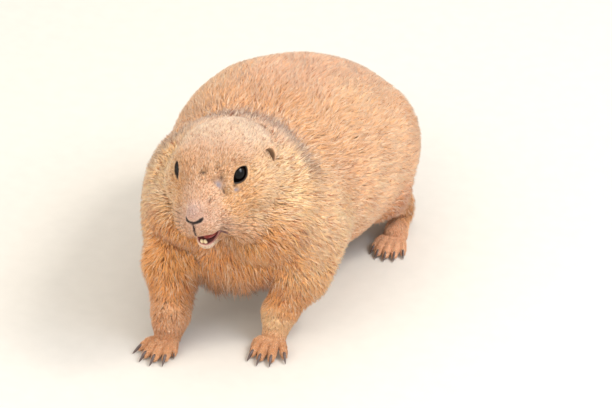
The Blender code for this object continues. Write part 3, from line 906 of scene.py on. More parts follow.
# Where no fur hides it: nostrils' surround and inside, groove, lips, mouth, lids, soles; the near
# black in the nostrils and the groove is painted shade in their slits
bareColours = {
    "noseSkin": "D2AC98",
    "nostril": "170C0A",
    "groove": "2E1A16",
    "bareLip": "80504A",
    "mouthEdge": "B98278",
    "mouth": "6E3A38",
    "lids": "2A1C17",
    "soles": "9A7468",
}
# Odd strands: their colour, how many of all, and how strongly it shows; the rusty ones are this
# many times the part's unevenness
strands = {"cream": ("F6E4CA", 0.17, 0.55), "rusty": ("C8906A", 0.9, 0.8)}


# How far a point lies past a cut
def pastCut(points, name):
    place, way = cuts[name]
    return (points - place) @ np.array(way)


# Colour of the fur at a place: every named place counts by e to the power of minus its distance
# over its reach, squared; a band on the nape behind the head's pale fringe is darker, partly its own
# darker hair and partly painted shadow of the fringe
def coatColour(points):
    inHead = toHead(points)
    total = np.full(len(points), 1e-5)
    colour = total[:, None] * linear(plainFur)
    for table, space in ((headColours, inHead), (bodyColours, points)):
        for name, place, reach, hexColour in table:
            for side in (1, -1) if place[0] and not name.startswith("tail") else (1,):
                away = space - np.array((side * place[0], *place[1:]))
                weight = np.exp(-(away**2).sum(1) / reach**2)
                total += weight
                colour += weight[:, None] * linear(hexColour)
    colour /= total[:, None]
    for name, place, reach, hexColour, share in faceMarks:
        away = ((inHead - np.array(place)) ** 2 / np.square(reach)).sum(1)
        colour = mixed(colour, linear(hexColour), share * np.exp(-away))
    behind = -pastCut(points, "head")
    high = np.clip((points[:, 2] - napeHairAndShadow["from"]) / (napeHairAndShadow["full"] - napeHairAndShadow["from"]), 0, 1)
    nape = np.exp(-(((behind - napeHairAndShadow["behind"]) / napeHairAndShadow["spread"]) ** 2)) * high
    colour = mixed(colour, linear(napeHairAndShadow["colour"]), napeHairAndShadow["share"] * nape)
    patch = waves(points, 26, 3) * 0.5 + waves(points, 9, 8) * 0.5
    colour = colour * (1 + 0.07 * patch[:, None] * np.array((0.6, 1.0, 1.5)))
    return colour


# One colour going over into another by a share held between 0 and 1
def mixed(colour, other, share):
    return colour + (other - colour) * np.clip(share, 0, 1)[:, None]


# Gentle unevenness: the sum of five sine waves of one length, in fixed but unlike directions, over 2.2
def waves(points, length, seed):
    ways = unit(np.random.default_rng(seed).normal(size=(5, 3)))
    shifts = np.random.default_rng(seed + 1).uniform(0, 6.28, 5)
    return np.sin(points @ ways.T * (2 * math.pi / length) + shifts).sum(1) / 2.2


# How far a point lies from the bare places of the face: below 0 inside eyes, nostrils and mouth
def faceDistances(inHead):
    eyes = np.full(len(inHead), 1e3)
    nostrils = eyes.copy()
    for side in (1, -1):
        centre, along, other, gaze = eyeFrame(side)
        away = inHead - centre
        onLid = np.maximum(almondDistance(away @ along, away @ other, *eye["opening"]), -away @ gaze)
        eyes = np.minimum(eyes, onLid)
        nostrils = np.minimum(nostrils, nostrilDistance(inHead, side))
    return eyes, nostrils, lipSlit(inHead), mouthDistance(inHead)


# The fur's colour goes over into the skin's own, and into painted shade in the nostrils and the
# groove: each by a share at its edge less its distance times a steepness
def bareColour(points, normals, colour):
    inHead = toHead(points)
    eyes, nostrils, slit, lips = faceDistances(inHead)
    own = {name: linear(hexColour) for name, hexColour in bareColours.items()}
    mottle = np.clip(0.8 + 0.5 * waves(points, 1.5, 55) + 0.3 * waves(points, 3.4, 61), 0.3, 1.8)
    colour = mixed(colour, own["noseSkin"], np.exp(-np.maximum(nostrils, 0) / 1.6))
    # Painted shade inside the nostril slits and down the groove under the nose
    colour = mixed(colour, own["nostril"], 1.7 - nostrils * 2.4)
    colour = mixed(colour, own["groove"], 1.5 - slit * 2.4)
    colour = mixed(colour, own["bareLip"] * mottle[:, None], 0.9 - lipDistance(inHead) * 0.9)
    colour = mixed(colour, own["mouthEdge"], 1.8 - lips * 1.6)
    colour = mixed(colour, own["mouth"], 0.9 - lips * 3.0)
    colour = mixed(colour, own["lids"], 1.1 - eyes * 1.9)
    under = np.clip((1.6 - points[:, 2]) / 0.8, 0, 1) * np.clip(-normals[:, 2] * 2, 0, 1)
    return mixed(colour, own["soles"], under)


furColour = coatColour(skinPoints)
# The skin takes the fur's colour a tenth darker: painted shade deep under the coat
skinColour = bareColour(skinPoints, skinNormals, furColour * 0.9)


# One row per part: how many layers of tufts lie over each other, a tuft's width in mm, how far its
# tip is pulled to the middle of its clump, and how uneven its colour is
coatParts = {
    "coatFace": {"slot": "fur_head", "layers": 2.9, "width": 0.3, "pull": 0.15, "uneven": 0.17},
    "coatCrown": {"slot": "fur_head", "layers": 4.6, "width": 0.34, "pull": 0.25, "uneven": 0.16},
    "coatNeck": {"slot": "fur_nape", "layers": 6.0, "width": 0.38, "pull": 0.42, "uneven": 0.12},
    "coatFlankLeft": {"slot": "fur_body", "layers": 5.2, "width": 0.34, "pull": 0.42, "uneven": 0.09},
    "coatFlankRight": {"slot": "fur_body", "layers": 4.9, "width": 0.42, "pull": 0.42, "uneven": 0.09},
    "coatBelly": {"slot": "fur_body", "layers": 3.6, "width": 0.56, "pull": 0.5, "uneven": 0.09},
    "coatLegs": {"slot": "fur_leg", "layers": 4.2, "width": 0.38, "pull": 0.35, "uneven": 0.1},
    "coatFeet": {"slot": "fur_foot", "layers": 1.9, "width": 0.26, "pull": 0.1, "uneven": 0.08},
    "coatTail": {"slot": "fur_tail", "layers": 5.0, "width": 0.5, "pull": 0.5, "uneven": 0.12},
    "coatShoulderLeft": {"slot": "fur_body", "layers": 5.2, "width": 0.34, "pull": 0.42, "uneven": 0.09},
}
partNumber = {name: number for number, name in enumerate(coatParts)}
# What all tufts share, in mm, radians and shares
tufts = {
    "mostInPart": 32500,
    "sway": 0.24,  # chance turn about the skin's normal
    "lengths": (0.72, 1.18),  # of the fur's length
    "lifts": (0.7, 1.15),  # of the coat's depth
    "steepest": 0.72,  # lift over length
    "widths": (0.75, 1.3),  # of the part's width
    "widening": (0.7, 0.045),  # a tuft's width at no length, and more of it by mm of length
    "clump": (1.2, 0.24),  # a clump's size over no fur, and more of it by mm of fur
}
# Where the fur is longer than the masses say, and by what share at most
longFur = {
    "skirt": {"top": 48, "fade": 25, "more": 0.35},
    "fringe": {"past": 3.5, "fade": 5, "more": 0.7},
    "chest": {"middle": (2, 10, 30), "reach": (26, 16, 14), "more": 0.8},
}


# Which part of the coat a place belongs to; where regions overlap, the later one takes it
def coatPart(points):
    x, y, z = points.T
    aside = np.abs(x)
    onHead = pastCut(points, "head")
    leftPart = np.where(y < 96 - 0.3 * z, partNumber["coatShoulderLeft"], partNumber["coatFlankLeft"])
    part = np.where(x > 0, leftPart, partNumber["coatFlankRight"])
    regions = (
        ("coatBelly", z < 26),
        ("coatNeck", pastCut(points, "neck") > 0),
        ("coatCrown", onHead > 0),
        ("coatFace", (onHead > 0) & (toHead(points)[:, 1] < 3)),
        ("coatLegs", (onHead < 0) & (y < 46) & (z < 46) & (aside > 13)),
        ("coatLegs", (y > 96) & (z < 40) & (aside > 30)),
        ("coatFeet", (z < 12.5) & ((y < 30) | ((aside > 36) & (y > 96)))),
        ("coatTail", pastCut(points, "tail") > 0),
    )
    for name, inside in regions:
        part[inside] = partNumber[name]
    return part


# The nearest of jittered points, one in each cell of a cubic pattern, and a number of its own. The
# jitter is what is left of a large multiple of the sine of the cell's key, past a whole number.
def nearestCentre(points, size):
    cell = np.floor(points / size)
    best = np.full(len(points), 1e9)
    centre = np.zeros_like(points)
    number = np.zeros(len(points))
    for shift in np.ndindex(3, 3, 3):
        at = cell + np.array(shift) - 1
        key = at @ np.array((12.9898, 78.233, 37.719))
        jitter = np.stack([np.mod(np.sin(key + n) * 43758.5453, 1) for n in (0.0, 1.7, 3.1)], 1)
        candidate = (at + 0.1 + 0.8 * jitter) * size
        away = ((points - candidate) ** 2).sum(1)
        nearer = away < best
        best = np.where(nearer, away, best)
        centre[nearer] = candidate[nearer]
        number[nearer] = jitter[nearer, 0]
    return centre, number


# Turns about the skin's normal: the way times the cosine, the way across it times the sine
def turned(way, normal, angle):
    return way * np.cos(angle)[:, None] + np.cross(normal, way) * np.sin(angle)[:, None]


# A tuft is a lens-shaped lock: a point at its root, three points round its widest place, and its
# tip. Along the way it rises as a bow: four tenths of its reach out, it has two thirds of its lift.
def tuftMesh(roots, normals, ways, lengths, lifts, widths, tips):
    reach = np.sqrt(np.maximum(lengths**2 - lifts**2, 0.01))
    across = np.cross(ways, normals)
    middle = roots + ways * (reach * 0.42)[:, None] + normals * (lifts * 0.68)[:, None]
    tip = roots + ways * reach[:, None] + normals * lifts[:, None] + tips
    side = across * (widths / 2)[:, None]
    ridge = normals * (widths * 0.32)[:, None]
    corners = np.stack((roots - normals * 0.35, middle + side, middle - side, middle + ridge, tip), 1)
    pattern = np.array(((0, 1, 3), (0, 3, 2), (0, 2, 1), (4, 3, 1), (4, 2, 3), (4, 1, 2)))
    faces = (np.arange(len(roots)) * 5)[:, None, None] + pattern
    return corners.reshape(-1, 3), faces.reshape(-1, 3)


# Shares across and along a tile, with a margin of 0.02 on its sides
def inTile(across, along):
    return np.stack((0.02 + 0.96 * across, 0.02 + 0.96 * np.clip(along, 0, 1)), 1)


# Unwraps a part of the skin about a middle line: the angle round it and the place along it
def unwrapped(points, name):
    if name in ("coatLegs", "coatFeet"):
        quarter = (points[:, 0] > 0) + 2 * (points[:, 1] > 70)
        middle = np.array(((-26, 12), (32, 22), (-46, 140), (46, 140)))[quarter]
        angle = np.arctan2(points[:, 0] - middle[:, 0], points[:, 1] - middle[:, 1]) / (2 * math.pi) + 0.5
        return inTile((angle + quarter) / 4, points[:, 2] / 60)
    if name == "coatTail":
        line = np.array([place for place, radius in tailRod], float)
        x, z = (np.interp(points[:, 1], line[:, 1], line[:, axis]) for axis in (0, 2))
        angle = np.arctan2(points[:, 0] - x, points[:, 2] - z)
        along = (points[:, 1] - 180) / 110
    elif name in ("coatFace", "coatCrown"):
        inHead = toHead(points)
        angle = np.arctan2(inHead[:, 0], inHead[:, 2] + 14)
        along = (inHead[:, 1] + 34) / 90
    else:
        angle = np.arctan2(points[:, 0], points[:, 2] - 60)
        along = points[:, 1] / 200
    return inTile(angle / (2 * math.pi) + 0.5, along)


# How near a point is to the marks that fur grows thin over, up to 1
def thinFur(inHead):
    near = np.zeros(len(inHead))
    for name, place, reach in (mark[:3] for mark in faceMarks):
        if name not in ("furrowShade", "nosePad"):
            away = ((inHead - np.array(place)) ** 2 / np.square(np.array(reach) + 0.7)).sum(1)
            near = np.maximum(near, np.exp(-away))
    return near


# The colour of each tuft: its place's own, brighter or duller by clump and by chance, with a share
# of cream strands and a share of rusty ones; its root is painted darker as shade down in the coat,
# and its tip is paler
def tuftColours(base, clumpNumber, uneven=0.1):
    count = len(base)
    bright = 1.2 + draw.normal(0, uneven, count) + (clumpNumber - 0.5) * 0.14
    warm = draw.normal(0, 0.06, count)
    colour = base * bright[:, None] * (1 + warm[:, None] * np.array((0.4, 0.0, -1.0)))
    pick = draw.random(count)
    cream, many, strong = strands["cream"]
    colour = mixed(colour, linear(cream), np.where(pick < many, strong, 0.0))
    rusty, many, strong = strands["rusty"]
    colour = mixed(colour, base * linear(rusty), np.where(pick > 1 - many * uneven, strong, 0.0))
    # Root, three middle corners, tip: painted shade at the root, a paler tip
    shade = np.array((0.75, 1.0, 1.0, 1.0, 1.12))
    return np.clip(colour[:, None, :] * shade[None, :, None], 0, 1).reshape(-1, 3)


# A piece of tufts, each unwrapped to its own small patch about its root's place
def addTufts(name, points, faces, colours, places):
    piece = addPiece(name, points, faces, materials["fur"], colours)
    store = piece.data.uv_layers.new(name="OFBake")
    patch = np.array(((0, 0), (0.0015, 0.001), (-0.0015, 0.001), (0, 0.0012), (0, 0.0028))) - (0, 0.0014)
    corner = (places[:, None, :] + patch).reshape(-1, 2)
    store.data.foreach_set("uv", corner[faces.ravel()].astype(np.float32).ravel())


# Each quad as two triangles
def halved(quads):
    return np.concatenate((quads[:, (0, 1, 2)], quads[:, (0, 2, 3)]))


triangles = halved(skinFaces)
corners = skinPoints[triangles]
areas = np.linalg.norm(np.cross(corners[:, 1] - corners[:, 0], corners[:, 2] - corners[:, 0]), axis=1) / 2
centres = corners.mean(1)
partOfTriangle = coatPart(centres)
nearFace = centres[:, 1] < 40
furred = np.ones(len(triangles), bool)
facePlaces = toHead(centres[nearFace])
eyes, nostrils, slit, lips = faceDistances(facePlaces)
furred[nearFace] = (eyes > 0.7) & (nostrils > 0.6) & (slit > 0.5) & (lips > 0.9)
furred[nearFace] &= (lipDistance(facePlaces) > 0.2) & (thinFur(facePlaces) < 0.62)
furred &= ~((centres[:, 2] < 1.2) & (skinNormals[triangles[:, 0], 2] < -0.3))


# The fur's length where it is longer than the masses say: on the low skirt of the body, at the
# head's fringe, and in uneven locks under the chest
def longer(name, roots, hair):
    skirt, fringe, chest = (longFur[place] for place in ("skirt", "fringe", "chest"))
    if name in ("coatNeck", "coatFlankLeft", "coatFlankRight", "coatShoulderLeft"):
        hair = hair * (1 + skirt["more"] * np.clip((skirt["top"] - roots[:, 2]) / skirt["fade"], 0, 1))
    if name == "coatCrown":
        past = (pastCut(roots, "head") - fringe["past"]) / fringe["fade"]
        hair = hair * (1 + fringe["more"] * np.exp(-(past**2)))
    ragged = np.exp(-((((roots - chest["middle"]) / chest["reach"]) ** 2).sum(1)))
    return hair * (1 + chest["more"] * ragged * np.clip(0.4 + waves(roots, 9, 71), 0, 1.4))


# The share of its length that the fur keeps near the eyes, nostrils, lips, marks and ears
def shorter(inHead):
    eyes, nostrils, slit, lips = faceDistances(inHead)
    bare = np.clip(np.minimum(np.minimum(eyes * 1.3, nostrils), np.minimum(slit, lips)) / 5, 0.22, 1)
    bare = bare * (1 - 0.75 * thinFur(inHead))
    x, y, z = inHead.T
    fromEar = np.linalg.norm(np.stack((np.abs(x), y, z), 1) - np.array(ear["centre"]), axis=1)
    return bare * np.clip((fromEar - 2.5) / 5, 0.4, 1)


# The width of a tuft of a given length
def tuftWidth(part, lengths):
    start, more = tufts["widening"]
    return part["width"] * (start + more * lengths)


# One part of the coat: tufts stand at chance places of its triangles, as many as its layers need,
# lie along the fur with some sway, and lean towards the middle of their clump
def growCoat(name, part):
    here = np.nonzero((partOfTriangle == partNumber[name]) & furred)[0]
    longest = skinHair[triangles[here]].mean(1)
    wanted = part["layers"] * areas[here] / (0.5 * tuftWidth(part, longest) * longest)
    count = min(int(wanted.sum()), tufts["mostInPart"])
    chosen = here[np.searchsorted(np.cumsum(wanted), draw.random(count) * wanted.sum())]
    u, v = np.sqrt(draw.random(count)), draw.random(count)
    shares = np.stack((1 - u, u * (1 - v), u * v), 1)
    corners = triangles[chosen]

    def take(values):
        return (values[corners] * shares.reshape(count, 3, *[1] * (values.ndim - 1))).sum(1)

    roots, normals, ways = take(skinPoints), unit(take(skinNormals)), take(skinLie)
    depth, hair, base = take(skinDepth), take(skinHair), take(furColour)
    hair = longer(name, roots, hair)
    bare = shorter(toHead(roots))
    ways = unit(ways - normals * (ways * normals).sum(1)[:, None])
    sway = draw.normal(0, tufts["sway"], count) + waves(roots, 24, 21) * 0.2 + waves(roots, 7, 31) * 0.16
    ways = turned(ways, normals, sway)
    lengths = hair * bare * draw.uniform(*tufts["lengths"], count)
    lifts = np.minimum(depth * bare * draw.uniform(*tufts["lifts"], count), lengths * tufts["steepest"])
    widths = tuftWidth(part, lengths) * draw.uniform(*tufts["widths"], count)
    near = roots + ways * (lengths * 0.7)[:, None]
    clump, clumpNumber = nearestCentre(near, tufts["clump"][0] + tufts["clump"][1] * hair.mean())
    pull = clump - near
    pull = (pull - normals * (pull * normals).sum(1)[:, None]) * part["pull"]
    points, faces = tuftMesh(roots, normals, ways, lengths, lifts, widths, pull)
    points[:, 2] = np.maximum(points[:, 2], 0.05)
    colours = tuftColours(base, clumpNumber, part["uneven"])
    addTufts(name, points, faces, colours, unwrapped(roots, name))
    print(" ", name, "tufts", count, "of", int(wanted.sum()), "length", round(float(lengths.mean()), 1))
    return count


print("coat")
tuftTotal = sum(growCoat(name, part) for name, part in coatParts.items())
print("  tufts in all", tuftTotal, "triangles", 6 * tuftTotal)

print("skin piece")
skin = addPiece("skin", skinPoints, skinFaces, materials["skin"], skinColour)
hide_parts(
    "head",
    "neck",
    "torso",
    "tail",
    "foreleg_left",
    "foreleg_right",
    "forefoot_left",
    "forefoot_right",
    "hindleg_left",
    "hindleg_right",
    "hindfoot_left",
    "hindfoot_right",
)


# Even angles round a ring
def ringAngles(count):
    return np.arange(count) * (2 * math.pi / count)


# Triangles between each ring of points and the next; in a loop, the last ring meets the first
def betweenRings(rows, around, loop=False):
    i, j = np.meshgrid(np.arange(rows if loop else rows - 1), np.arange(around), indexing="ij")
    below, beside = (i + 1) % rows, (j + 1) % around
    quads = np.stack((i * around + j, i * around + beside, below * around + beside, below * around + j), -1)
    return halved(quads.reshape(-1, 4))


# Grid surface closed round its rows: rows by ring points; both ends close in fans on their middles
def closedTube(rings):
    rows, around = rings.shape[:2]
    points = np.concatenate((rings.reshape(-1, 3), rings[:1].mean(1), rings[-1:].mean(1)))
    faces = betweenRings(rows, around)
    j = np.arange(around)
    k = (j + 1) % around
    start, end = rows * around, rows * around + 1
    first = np.stack((np.full(around, start), k, j), 1)
    last = np.stack((np.full(around, end), (rows - 1) * around + j, (rows - 1) * around + k), 1)
    return points, np.concatenate((faces, first, last))


# Rings of a tube along a path: at each point the side times the cosine plus the rise times the
# sine of the angle, times the radii there; the side is square to the path and to the given top
def ringsAlong(path, radii, around, top=(0, 0, 1), sideways=1.0):
    path = np.asarray(path, float)
    ahead = unit(np.gradient(path, axis=0))
    side = unit(np.cross(ahead, np.asarray(top, float)))
    rise = np.cross(side, ahead)
    angle = ringAngles(around)[None, :, None]
    radii = np.asarray(radii, float)[:, None, None]
    circle = side[:, None] * np.cos(angle) * sideways + rise[:, None] * np.sin(angle)
    return path[:, None] + radii * circle


# Several meshes as one
def joined(meshes):
    points, faces, start = [], [], 0
    for some, ofThem in meshes:
        points.append(some)
        faces.append(ofThem + start)
        start += len(some)
    return np.concatenate(points), np.concatenate(faces)


# Faces turned over where their mesh has a volume below nothing
def outwards(points, faces):
    a, b, c = (points[faces[:, n]] for n in range(3))
    volume = (np.cross(a, b) * c).sum()
    return faces if volume > 0 else faces[:, ::-1]


# One colour for a number of points
def plain(hexColour, count):
    return np.full((count, 3), 1.0) * linear(hexColour)


print("eyes")
eyeball = {
    "cornea": (0.3, 0.55),  # mm that it stands proud, and how far in radians it spreads
    "iris": "120A07",
    "pupil": ("030202", 0.8, 14),  # its colour, where it starts by how far it faces ahead, how sharply
    "edge": ("2A1F1C", 0.62, 6),  # the same for the brown edge round the iris
}
lidRim = {"inside": 0.05, "below": 0.35, "radius": 0.2, "cornerMore": 0.14}


# A ball of rings about the gaze; the cornea stands proud by its height times e to the power of
# minus the angle over its spread, squared
def addEyeball(side, name):
    centre, along, other, gaze = eyeFrame(side)
    angle = np.linspace(0.02, math.pi - 0.02, 40)
    proud, spread = eyeball["cornea"]
    radius = eye["radius"] + proud * np.exp(-((angle / spread) ** 2))
    around = ringAngles(48)[:, None]
    ring = along * np.cos(around) + other * np.sin(around)
    rings = gaze * (radius * np.cos(angle))[:, None, None] + ring * (radius * np.sin(angle))[:, None, None]
    points, faces = closedTube(rings + centre)
    facing = unit(points - centre) @ gaze
    pupil, start, sharp = eyeball["pupil"]
    colour = mixed(plain(eyeball["iris"], len(points)), linear(pupil), (facing - start) * sharp)
    edge, start, sharp = eyeball["edge"]
    colour = mixed(colour, linear(edge), (start - facing) * sharp)
    faces = outwards(points, faces)
    ball = addPiece("eyeball" + name.title(), fromHead(points), faces, materials["eye"], colour)
    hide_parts("eye_" + name)


# The lid's rim follows the almond on the lid's ball, and is thicker at both corners
def addLidRim(side, name):
    centre, along, other, gaze = eyeFrame(side)
    t = ringAngles(44)
    length, width = eye["opening"]
    a = (length / 2 - lidRim["inside"]) * np.cos(t)
    arc = (length**2 + width**2) / (4 * width)
    b = (np.sqrt(np.maximum(arc**2 - a**2, 0)) - (arc - width / 2)) * np.sign(np.sin(t))
    up = np.sqrt(np.maximum((eye["lidRadius"] - lidRim["below"]) ** 2 - a**2 - b**2, 0))
    path = centre + a[:, None] * along + b[:, None] * other + up[:, None] * gaze
    ahead = unit(np.roll(path, -1, 0) - np.roll(path, 1, 0))
    outward = unit(path - centre)
    across = np.cross(ahead, outward)
    angle = ringAngles(8)[None, :, None]
    thick = lidRim["radius"] + lidRim["cornerMore"] * np.abs(np.cos(t)) ** 6
    circle = across[:, None] * np.cos(angle) + outward[:, None] * np.sin(angle)
    points = (path[:, None] + thick[:, None, None] * circle).reshape(-1, 3)
    faces = outwards(points, betweenRings(44, 8, loop=True))
    addPiece("lidRim" + name.title(), fromHead(points), faces, materials["lid"])


for side, name in ((1, "left"), (-1, "right")):
    addEyeball(side, name)
    addLidRim(side, name)

print("ears")
earCup = {
    # From the buried root over the rim into the hollow: share of the half size, height in mm
    "profile": [
        (0.3, -4.8),
        (0.66, -3.9),
        (0.86, -2.2),
        (0.97, -0.4),
        (1.02, 0.9),
        (1.0, 1.6),
        (0.92, 1.7),
        (0.84, 1.0),
        (0.76, -0.2),
        (0.6, -1.5),
        (0.4, -2.3),
        (0.12, -2.7),
    ],
    "around": 40,
    "rise": (2.0, -0.9),  # of the rim in mm: by the cosine, and all round
    "highest": 0.9,  # the angle behind and above where the rim stands highest
    "skin": "C89E78",
    # Painted shade deep in the hollow
    "hollow": "24130D",
}
earFur = {
    "tufts": 2600,
    "levels": (2, 3, 4, 5, 6),  # rings of the cup that it grows on; the last is the inner rim
    "way": (0.25, 1, 0.3),
    "lengths": (1.4, 3.4),
    "width": 0.3,
    "colours": ("C89C76", "DDBE9E"),
}


# The cup: its profile turned about the ear's middle, stretched, with the rim sinking into the fur
# in front and below, and painted shade inside its hollow
def addEarCup(side, name):
    turn = sideTurn(side, ear["turn"])
    seat = np.array((side * ear["centre"][0], *ear["centre"][1:]))
    profile = np.array(earCup["profile"])
    share, level = profile[:, 0][:, None], profile[:, 1][:, None]
    around = ringAngles(earCup["around"])
    byCosine, allRound = earCup["rise"]
    rise = byCosine * np.cos(around - earCup["highest"]) + allRound
    height = level + np.clip((level + 1.0) / 3.5, 0, 1) * rise[None]
    wide = share * np.cos(around)[None] * ear["size"][1]
    high = share * np.sin(around)[None] * ear["size"][2]
    rings = np.stack((side * height, wide, high), -1) @ turn.T + seat
    points, faces = closedTube(rings)
    # Painted shade: darker down the inner rings, and most in front and below
    inner = np.clip((np.arange(len(profile)) - 5.2) / 1.6, 0, 1)[:, None] * (0.8 + 0.2 * np.cos(around - 3.7))
    inner = np.concatenate((inner.ravel(), (0, 0.9)))
    colour = mixed(plain(earCup["skin"], len(points)), linear(earCup["hollow"]), inner)
    faces = outwards(points, faces)
    cup = addPiece("earCup" + name.title(), fromHead(points), faces, materials["skin"], colour)
    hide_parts("ear_" + name)
    return rings, seat - turn @ np.array((side * 4.0, 0, 0))


# A fringe on the rim and short fur down the outer side, lying back
def addEarFur(side, name, rings, middle):
    count = earFur["tufts"]
    at = draw.uniform(0, 2 * math.pi, count)
    level = draw.choice(earFur["levels"], count)
    index = (at / (2 * math.pi) * earCup["around"]).astype(int)
    outer = rings[level, index]
    beside = rings[level, (index + 1) % earCup["around"]]
    roots = outer + (beside - outer) * draw.random(count)[:, None]
    normals = unit(roots - middle)
    ways = np.array((side * earFur["way"][0], *earFur["way"][1:])) + draw.normal(0, 0.22, (count, 3))
    ways = unit(ways - normals * (ways * normals).sum(1)[:, None])
    onInnerRim = np.where(level == earFur["levels"][-1], 0.6, 1)
    lengths = draw.uniform(*earFur["lengths"], count) * onInnerRim
    lengths = lengths * (0.75 + 0.35 * np.cos(at - earCup["highest"]))
    widths = np.full(count, earFur["width"])
    points, faces = tuftMesh(roots, normals, ways, lengths, lengths * 0.3, widths, np.zeros(3))
    dull, pale = earFur["colours"]
    base = mixed(plain(dull, count), linear(pale), draw.random(count) * 0.7)
    places = np.stack((at / (2 * math.pi) * 0.9 + 0.05, level / 10), 1)
    colours = tuftColours(base, draw.random(count))
    addTufts("earFur" + name.title(), fromHead(points), faces, colours, places)


for side, name in ((1, "left"), (-1, "right")):
    addEarFur(side, name, *addEarCup(side, name))

print("teeth")
incisors = {
    "across": 0.95,  # mm from the middle to each tooth's middle
    "wear": (1, 1, 1, 1, 1, 1, 1, 0.99, 0.97, 0.93, 0.86, 0.7),  # of the radius, from root to edge
    # Nearness to the middle, the root's place ahead and up, how far it bends, length and radius
    "upper": {"near": 1, "root": (-23.6, -15), "bend": -1.2, "length": -4.3, "radius": 0.95},
    "lower": {"near": 0.95, "root": (-20.6, -30.6), "bend": -2.2, "length": 4.1, "radius": 0.85},
}


# An incisor bends forwards by the sine of its length's share and wears to a chisel edge
def incisor(side, tooth):
    wear = np.array(incisors["wear"])
    t = np.linspace(0, 1, len(wear))
    x = np.full(len(wear), nose["middle"] + tooth["near"] * side * incisors["across"])
    y = tooth["root"][0] + tooth["bend"] * np.sin(t * 1.5)
    z = tooth["root"][1] + tooth["length"] * t
    return closedTube(ringsAlong(np.stack((x, y, z), 1), tooth["radius"] * wear, 14, (0, -1, 0)))


points, faces = joined([incisor(side, incisors[jaw]) for side in (-1, 1) for jaw in ("upper", "lower")])
addPiece("incisors", fromHead(points), outwards(points, faces), materials["enamel"])

# The tongue is a long ball with a groove down its middle: its top sinks by the groove's depth
# times e to the power of minus the square of the place across
tongue = {"halfSizes": (4.2, 9.0, 1.9), "groove": 0.6, "middle": (1.0, -11.5, -27.0)}
angle, turn = np.linspace(0.03, math.pi - 0.03, 22)[:, None], ringAngles(28)
rings = np.stack(
    (
        np.sin(angle) * np.cos(turn) * tongue["halfSizes"][0],
        -np.cos(angle) * tongue["halfSizes"][1] + 0 * turn,
        np.sin(angle) * np.sin(turn) * tongue["halfSizes"][2],
    ),
    -1,
)
rings[..., 2] -= tongue["groove"] * np.exp(-(rings[..., 0] ** 2)) * (rings[..., 2] > 0)
points, faces = closedTube(rings + (np.array(tongue["middle"]) + (nose["middle"], 0, 0)))
addPiece("tongue", fromHead(points), outwards(points, faces), materials["tongue"])

print("claws")
claws = {
    "fore": {"length": 6.8, "radius": 1.1},
    "hind": {"length": 5.6, "radius": 0.95},
    "shortToe": (7, 0.7),  # a toe shorter than this has a claw of this share
    "buried": 2.2,  # mm inside the toe
    "root": 3.3,  # height of the root; it rises by the arch, then drops to near the floor
    "arch": 0.5,
    "drop": 2.75,
    "sideways": 0.82,  # width over height
}


# A curved claw: its height rises by the sine, then drops by the square of its length's share; its
# radius shrinks by the square root of what is left
def claw(foot, toe):
    kind = claws[foot["kind"]]
    share = claws["shortToe"][1] if toe[2] < claws["shortToe"][0] else 1.0
    t = np.linspace(0, 1, 10)
    ahead = toe[2] - claws["buried"] + t * kind["length"] * share
    arch = claws["arch"] * np.sin(math.pi * np.minimum(1.6 * t, 1))
    heights = claws["root"] + arch - claws["drop"] * t**2
    radii = kind["radius"] * share * np.sqrt(np.maximum(1 - t**1.7, 0.006))
    return closedTube(ringsAlong(alongToe(foot, toe, ahead, heights), radii, 12, sideways=claws["sideways"]))


for name, foot in feet.items():
    points, faces = joined([claw(foot, toe) for toe in toes[foot["kind"]]])
    points[:, 2] = np.maximum(points[:, 2], 0.06)
    pieceName = "claws" + name[0].upper() + name[1:]
    addPiece(pieceName, points, outwards(points, faces), materials["claw"])

print("whiskers")
# Of the first hair, with what each row down and each place back adds to it
whiskers = {
    "rows": 4,
    "inRow": 5,
    "root": ((6.5, -25.5, -12.5), (0.9, 0.5, -2.0), (0.4, 2.3, 0)),
    "way": ((1.0, 0.15, 0.12), (0, 0, -0.2), (-0.06, 0.16, 0)),
    "length": (15, 3.2),  # of the first, and what each place back adds
    "bend": (0, 0.5, -0.22),
    "radius": 0.1,
}


# One hair: straight out by its length's share, and bent by the square of it, thinning to its tip
def whisker(side, row, place):
    t = np.linspace(0, 1, 9)
    root, way = (
        (np.array(first) + np.array(perRow) * row + np.array(perPlace) * place) * (side, 1, 1)
        for first, perRow, perPlace in (whiskers["root"], whiskers["way"])
    )
    length = whiskers["length"][0] + whiskers["length"][1] * place + draw.uniform(-2, 2)
    out = unit(way + draw.normal(0, 0.08, 3))
    bend = np.array(whiskers["bend"]) * length
    path = root + out * (t * length)[:, None] + bend * (t**2)[:, None]
    return closedTube(ringsAlong(path, whiskers["radius"] * (1.02 - 0.9 * t), 5, (0.1, 0.2, 1)))


hairs = [
    whisker(side, row, place)
    for side in (1, -1)
    for row in range(whiskers["rows"])
    for place in range(whiskers["inRow"])
]
points, faces = joined(hairs)
addPiece("whiskers", fromHead(points), faces, materials["whisker"])

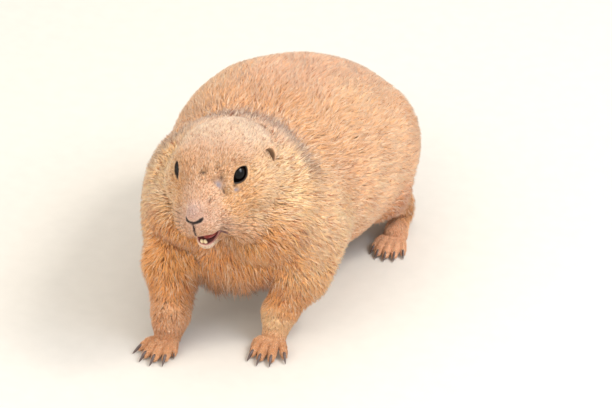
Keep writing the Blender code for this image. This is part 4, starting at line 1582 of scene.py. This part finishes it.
print("set")
view = {
    "pixel": 0.00052,  # metres at the forefeet
    "azimuth": 22,
    "elevation": 30,
    "picture": (612, 408),
    "feet": (215, 345),  # where they stand in the picture
    "lens": 200,
    "sensor": 36,
}
pixel = view["pixel"]
azimuth, elevation = math.radians(view["azimuth"]), math.radians(view["elevation"])
level = math.cos(elevation)
back = np.array((math.sin(azimuth) * level, -math.cos(azimuth) * level, math.sin(elevation)))
right = np.array((math.cos(azimuth), math.sin(azimuth), 0))
above = np.cross(back, right)
standing = modelShift * 0.001
beside, below = view["picture"][0] / 2 - view["feet"][0], view["feet"][1] - view["picture"][1] / 2
target = standing + right * beside * pixel + above * below * pixel
cameraData = bpy.data.cameras.new("camera")
cameraData.lens = view["lens"]
cameraData.sensor_width = view["sensor"]
camera = bpy.data.objects.new("camera", cameraData)
camera.matrix_world = Matrix(np.column_stack((right, above, back)).tolist()).to_4x4()
camera.location = target + back * (view["lens"] / view["sensor"] * view["picture"][0] * pixel)
bpy.context.scene.collection.objects.link(camera)
bpy.context.scene.camera = camera
bpy.context.scene.view_settings.view_transform = "Standard"

floorReach = 4  # metres to each side
corners = [(x * floorReach, y * floorReach, 0) for x, y in ((-1, -1), (1, -1), (1, 1), (-1, 1))]
floorMesh = bpy.data.meshes.new("floor")
floorMesh.from_pydata(corners, [], [(0, 1, 2, 3)])
floorMesh.materials.append(materials["floor"])
floor = bpy.data.objects.new("floor", floorMesh)
bpy.context.scene.collection.objects.link(floor)

# Metres from the middle of the body to each light, its side in metres, its watts
lights = {
    "key": {"from": (0.72, 0.15, 0.98), "size": 0.3, "watts": 5.8, "colour": "FFF4E0"},
    "sky": {"from": (0.84, -0.08, 0.88), "size": 0.6, "watts": 7.6, "colour": "E2EAFA"},
    "fill": {"from": (-0.6, -1.35, 0.5), "size": 2.0, "watts": 15, "colour": "FFF2E0"},
}
daylight = {"colour": "F3F1EC", "strength": 1.25}
bodyMiddle = standing + np.array((0, 0.09, 0.055))
for name, light in lights.items():
    lamp = bpy.data.lights.new(name, "AREA")
    lamp.size = light["size"]
    lamp.energy = light["watts"]
    lamp.color = linear(light["colour"])
    holder = bpy.data.objects.new(name, lamp)
    away = np.array(light["from"])
    holder.location = bodyMiddle + away
    holder.rotation_euler = Vector(away.tolist()).to_track_quat("Z", "Y").to_euler()
    bpy.context.scene.collection.objects.link(holder)
world = bpy.data.worlds.new("world")
world.use_nodes = True
background = world.node_tree.nodes["Background"]
background.inputs["Color"].default_value = (*linear(daylight["colour"]), 1)
background.inputs["Strength"].default_value = daylight["strength"]
bpy.context.scene.world = world
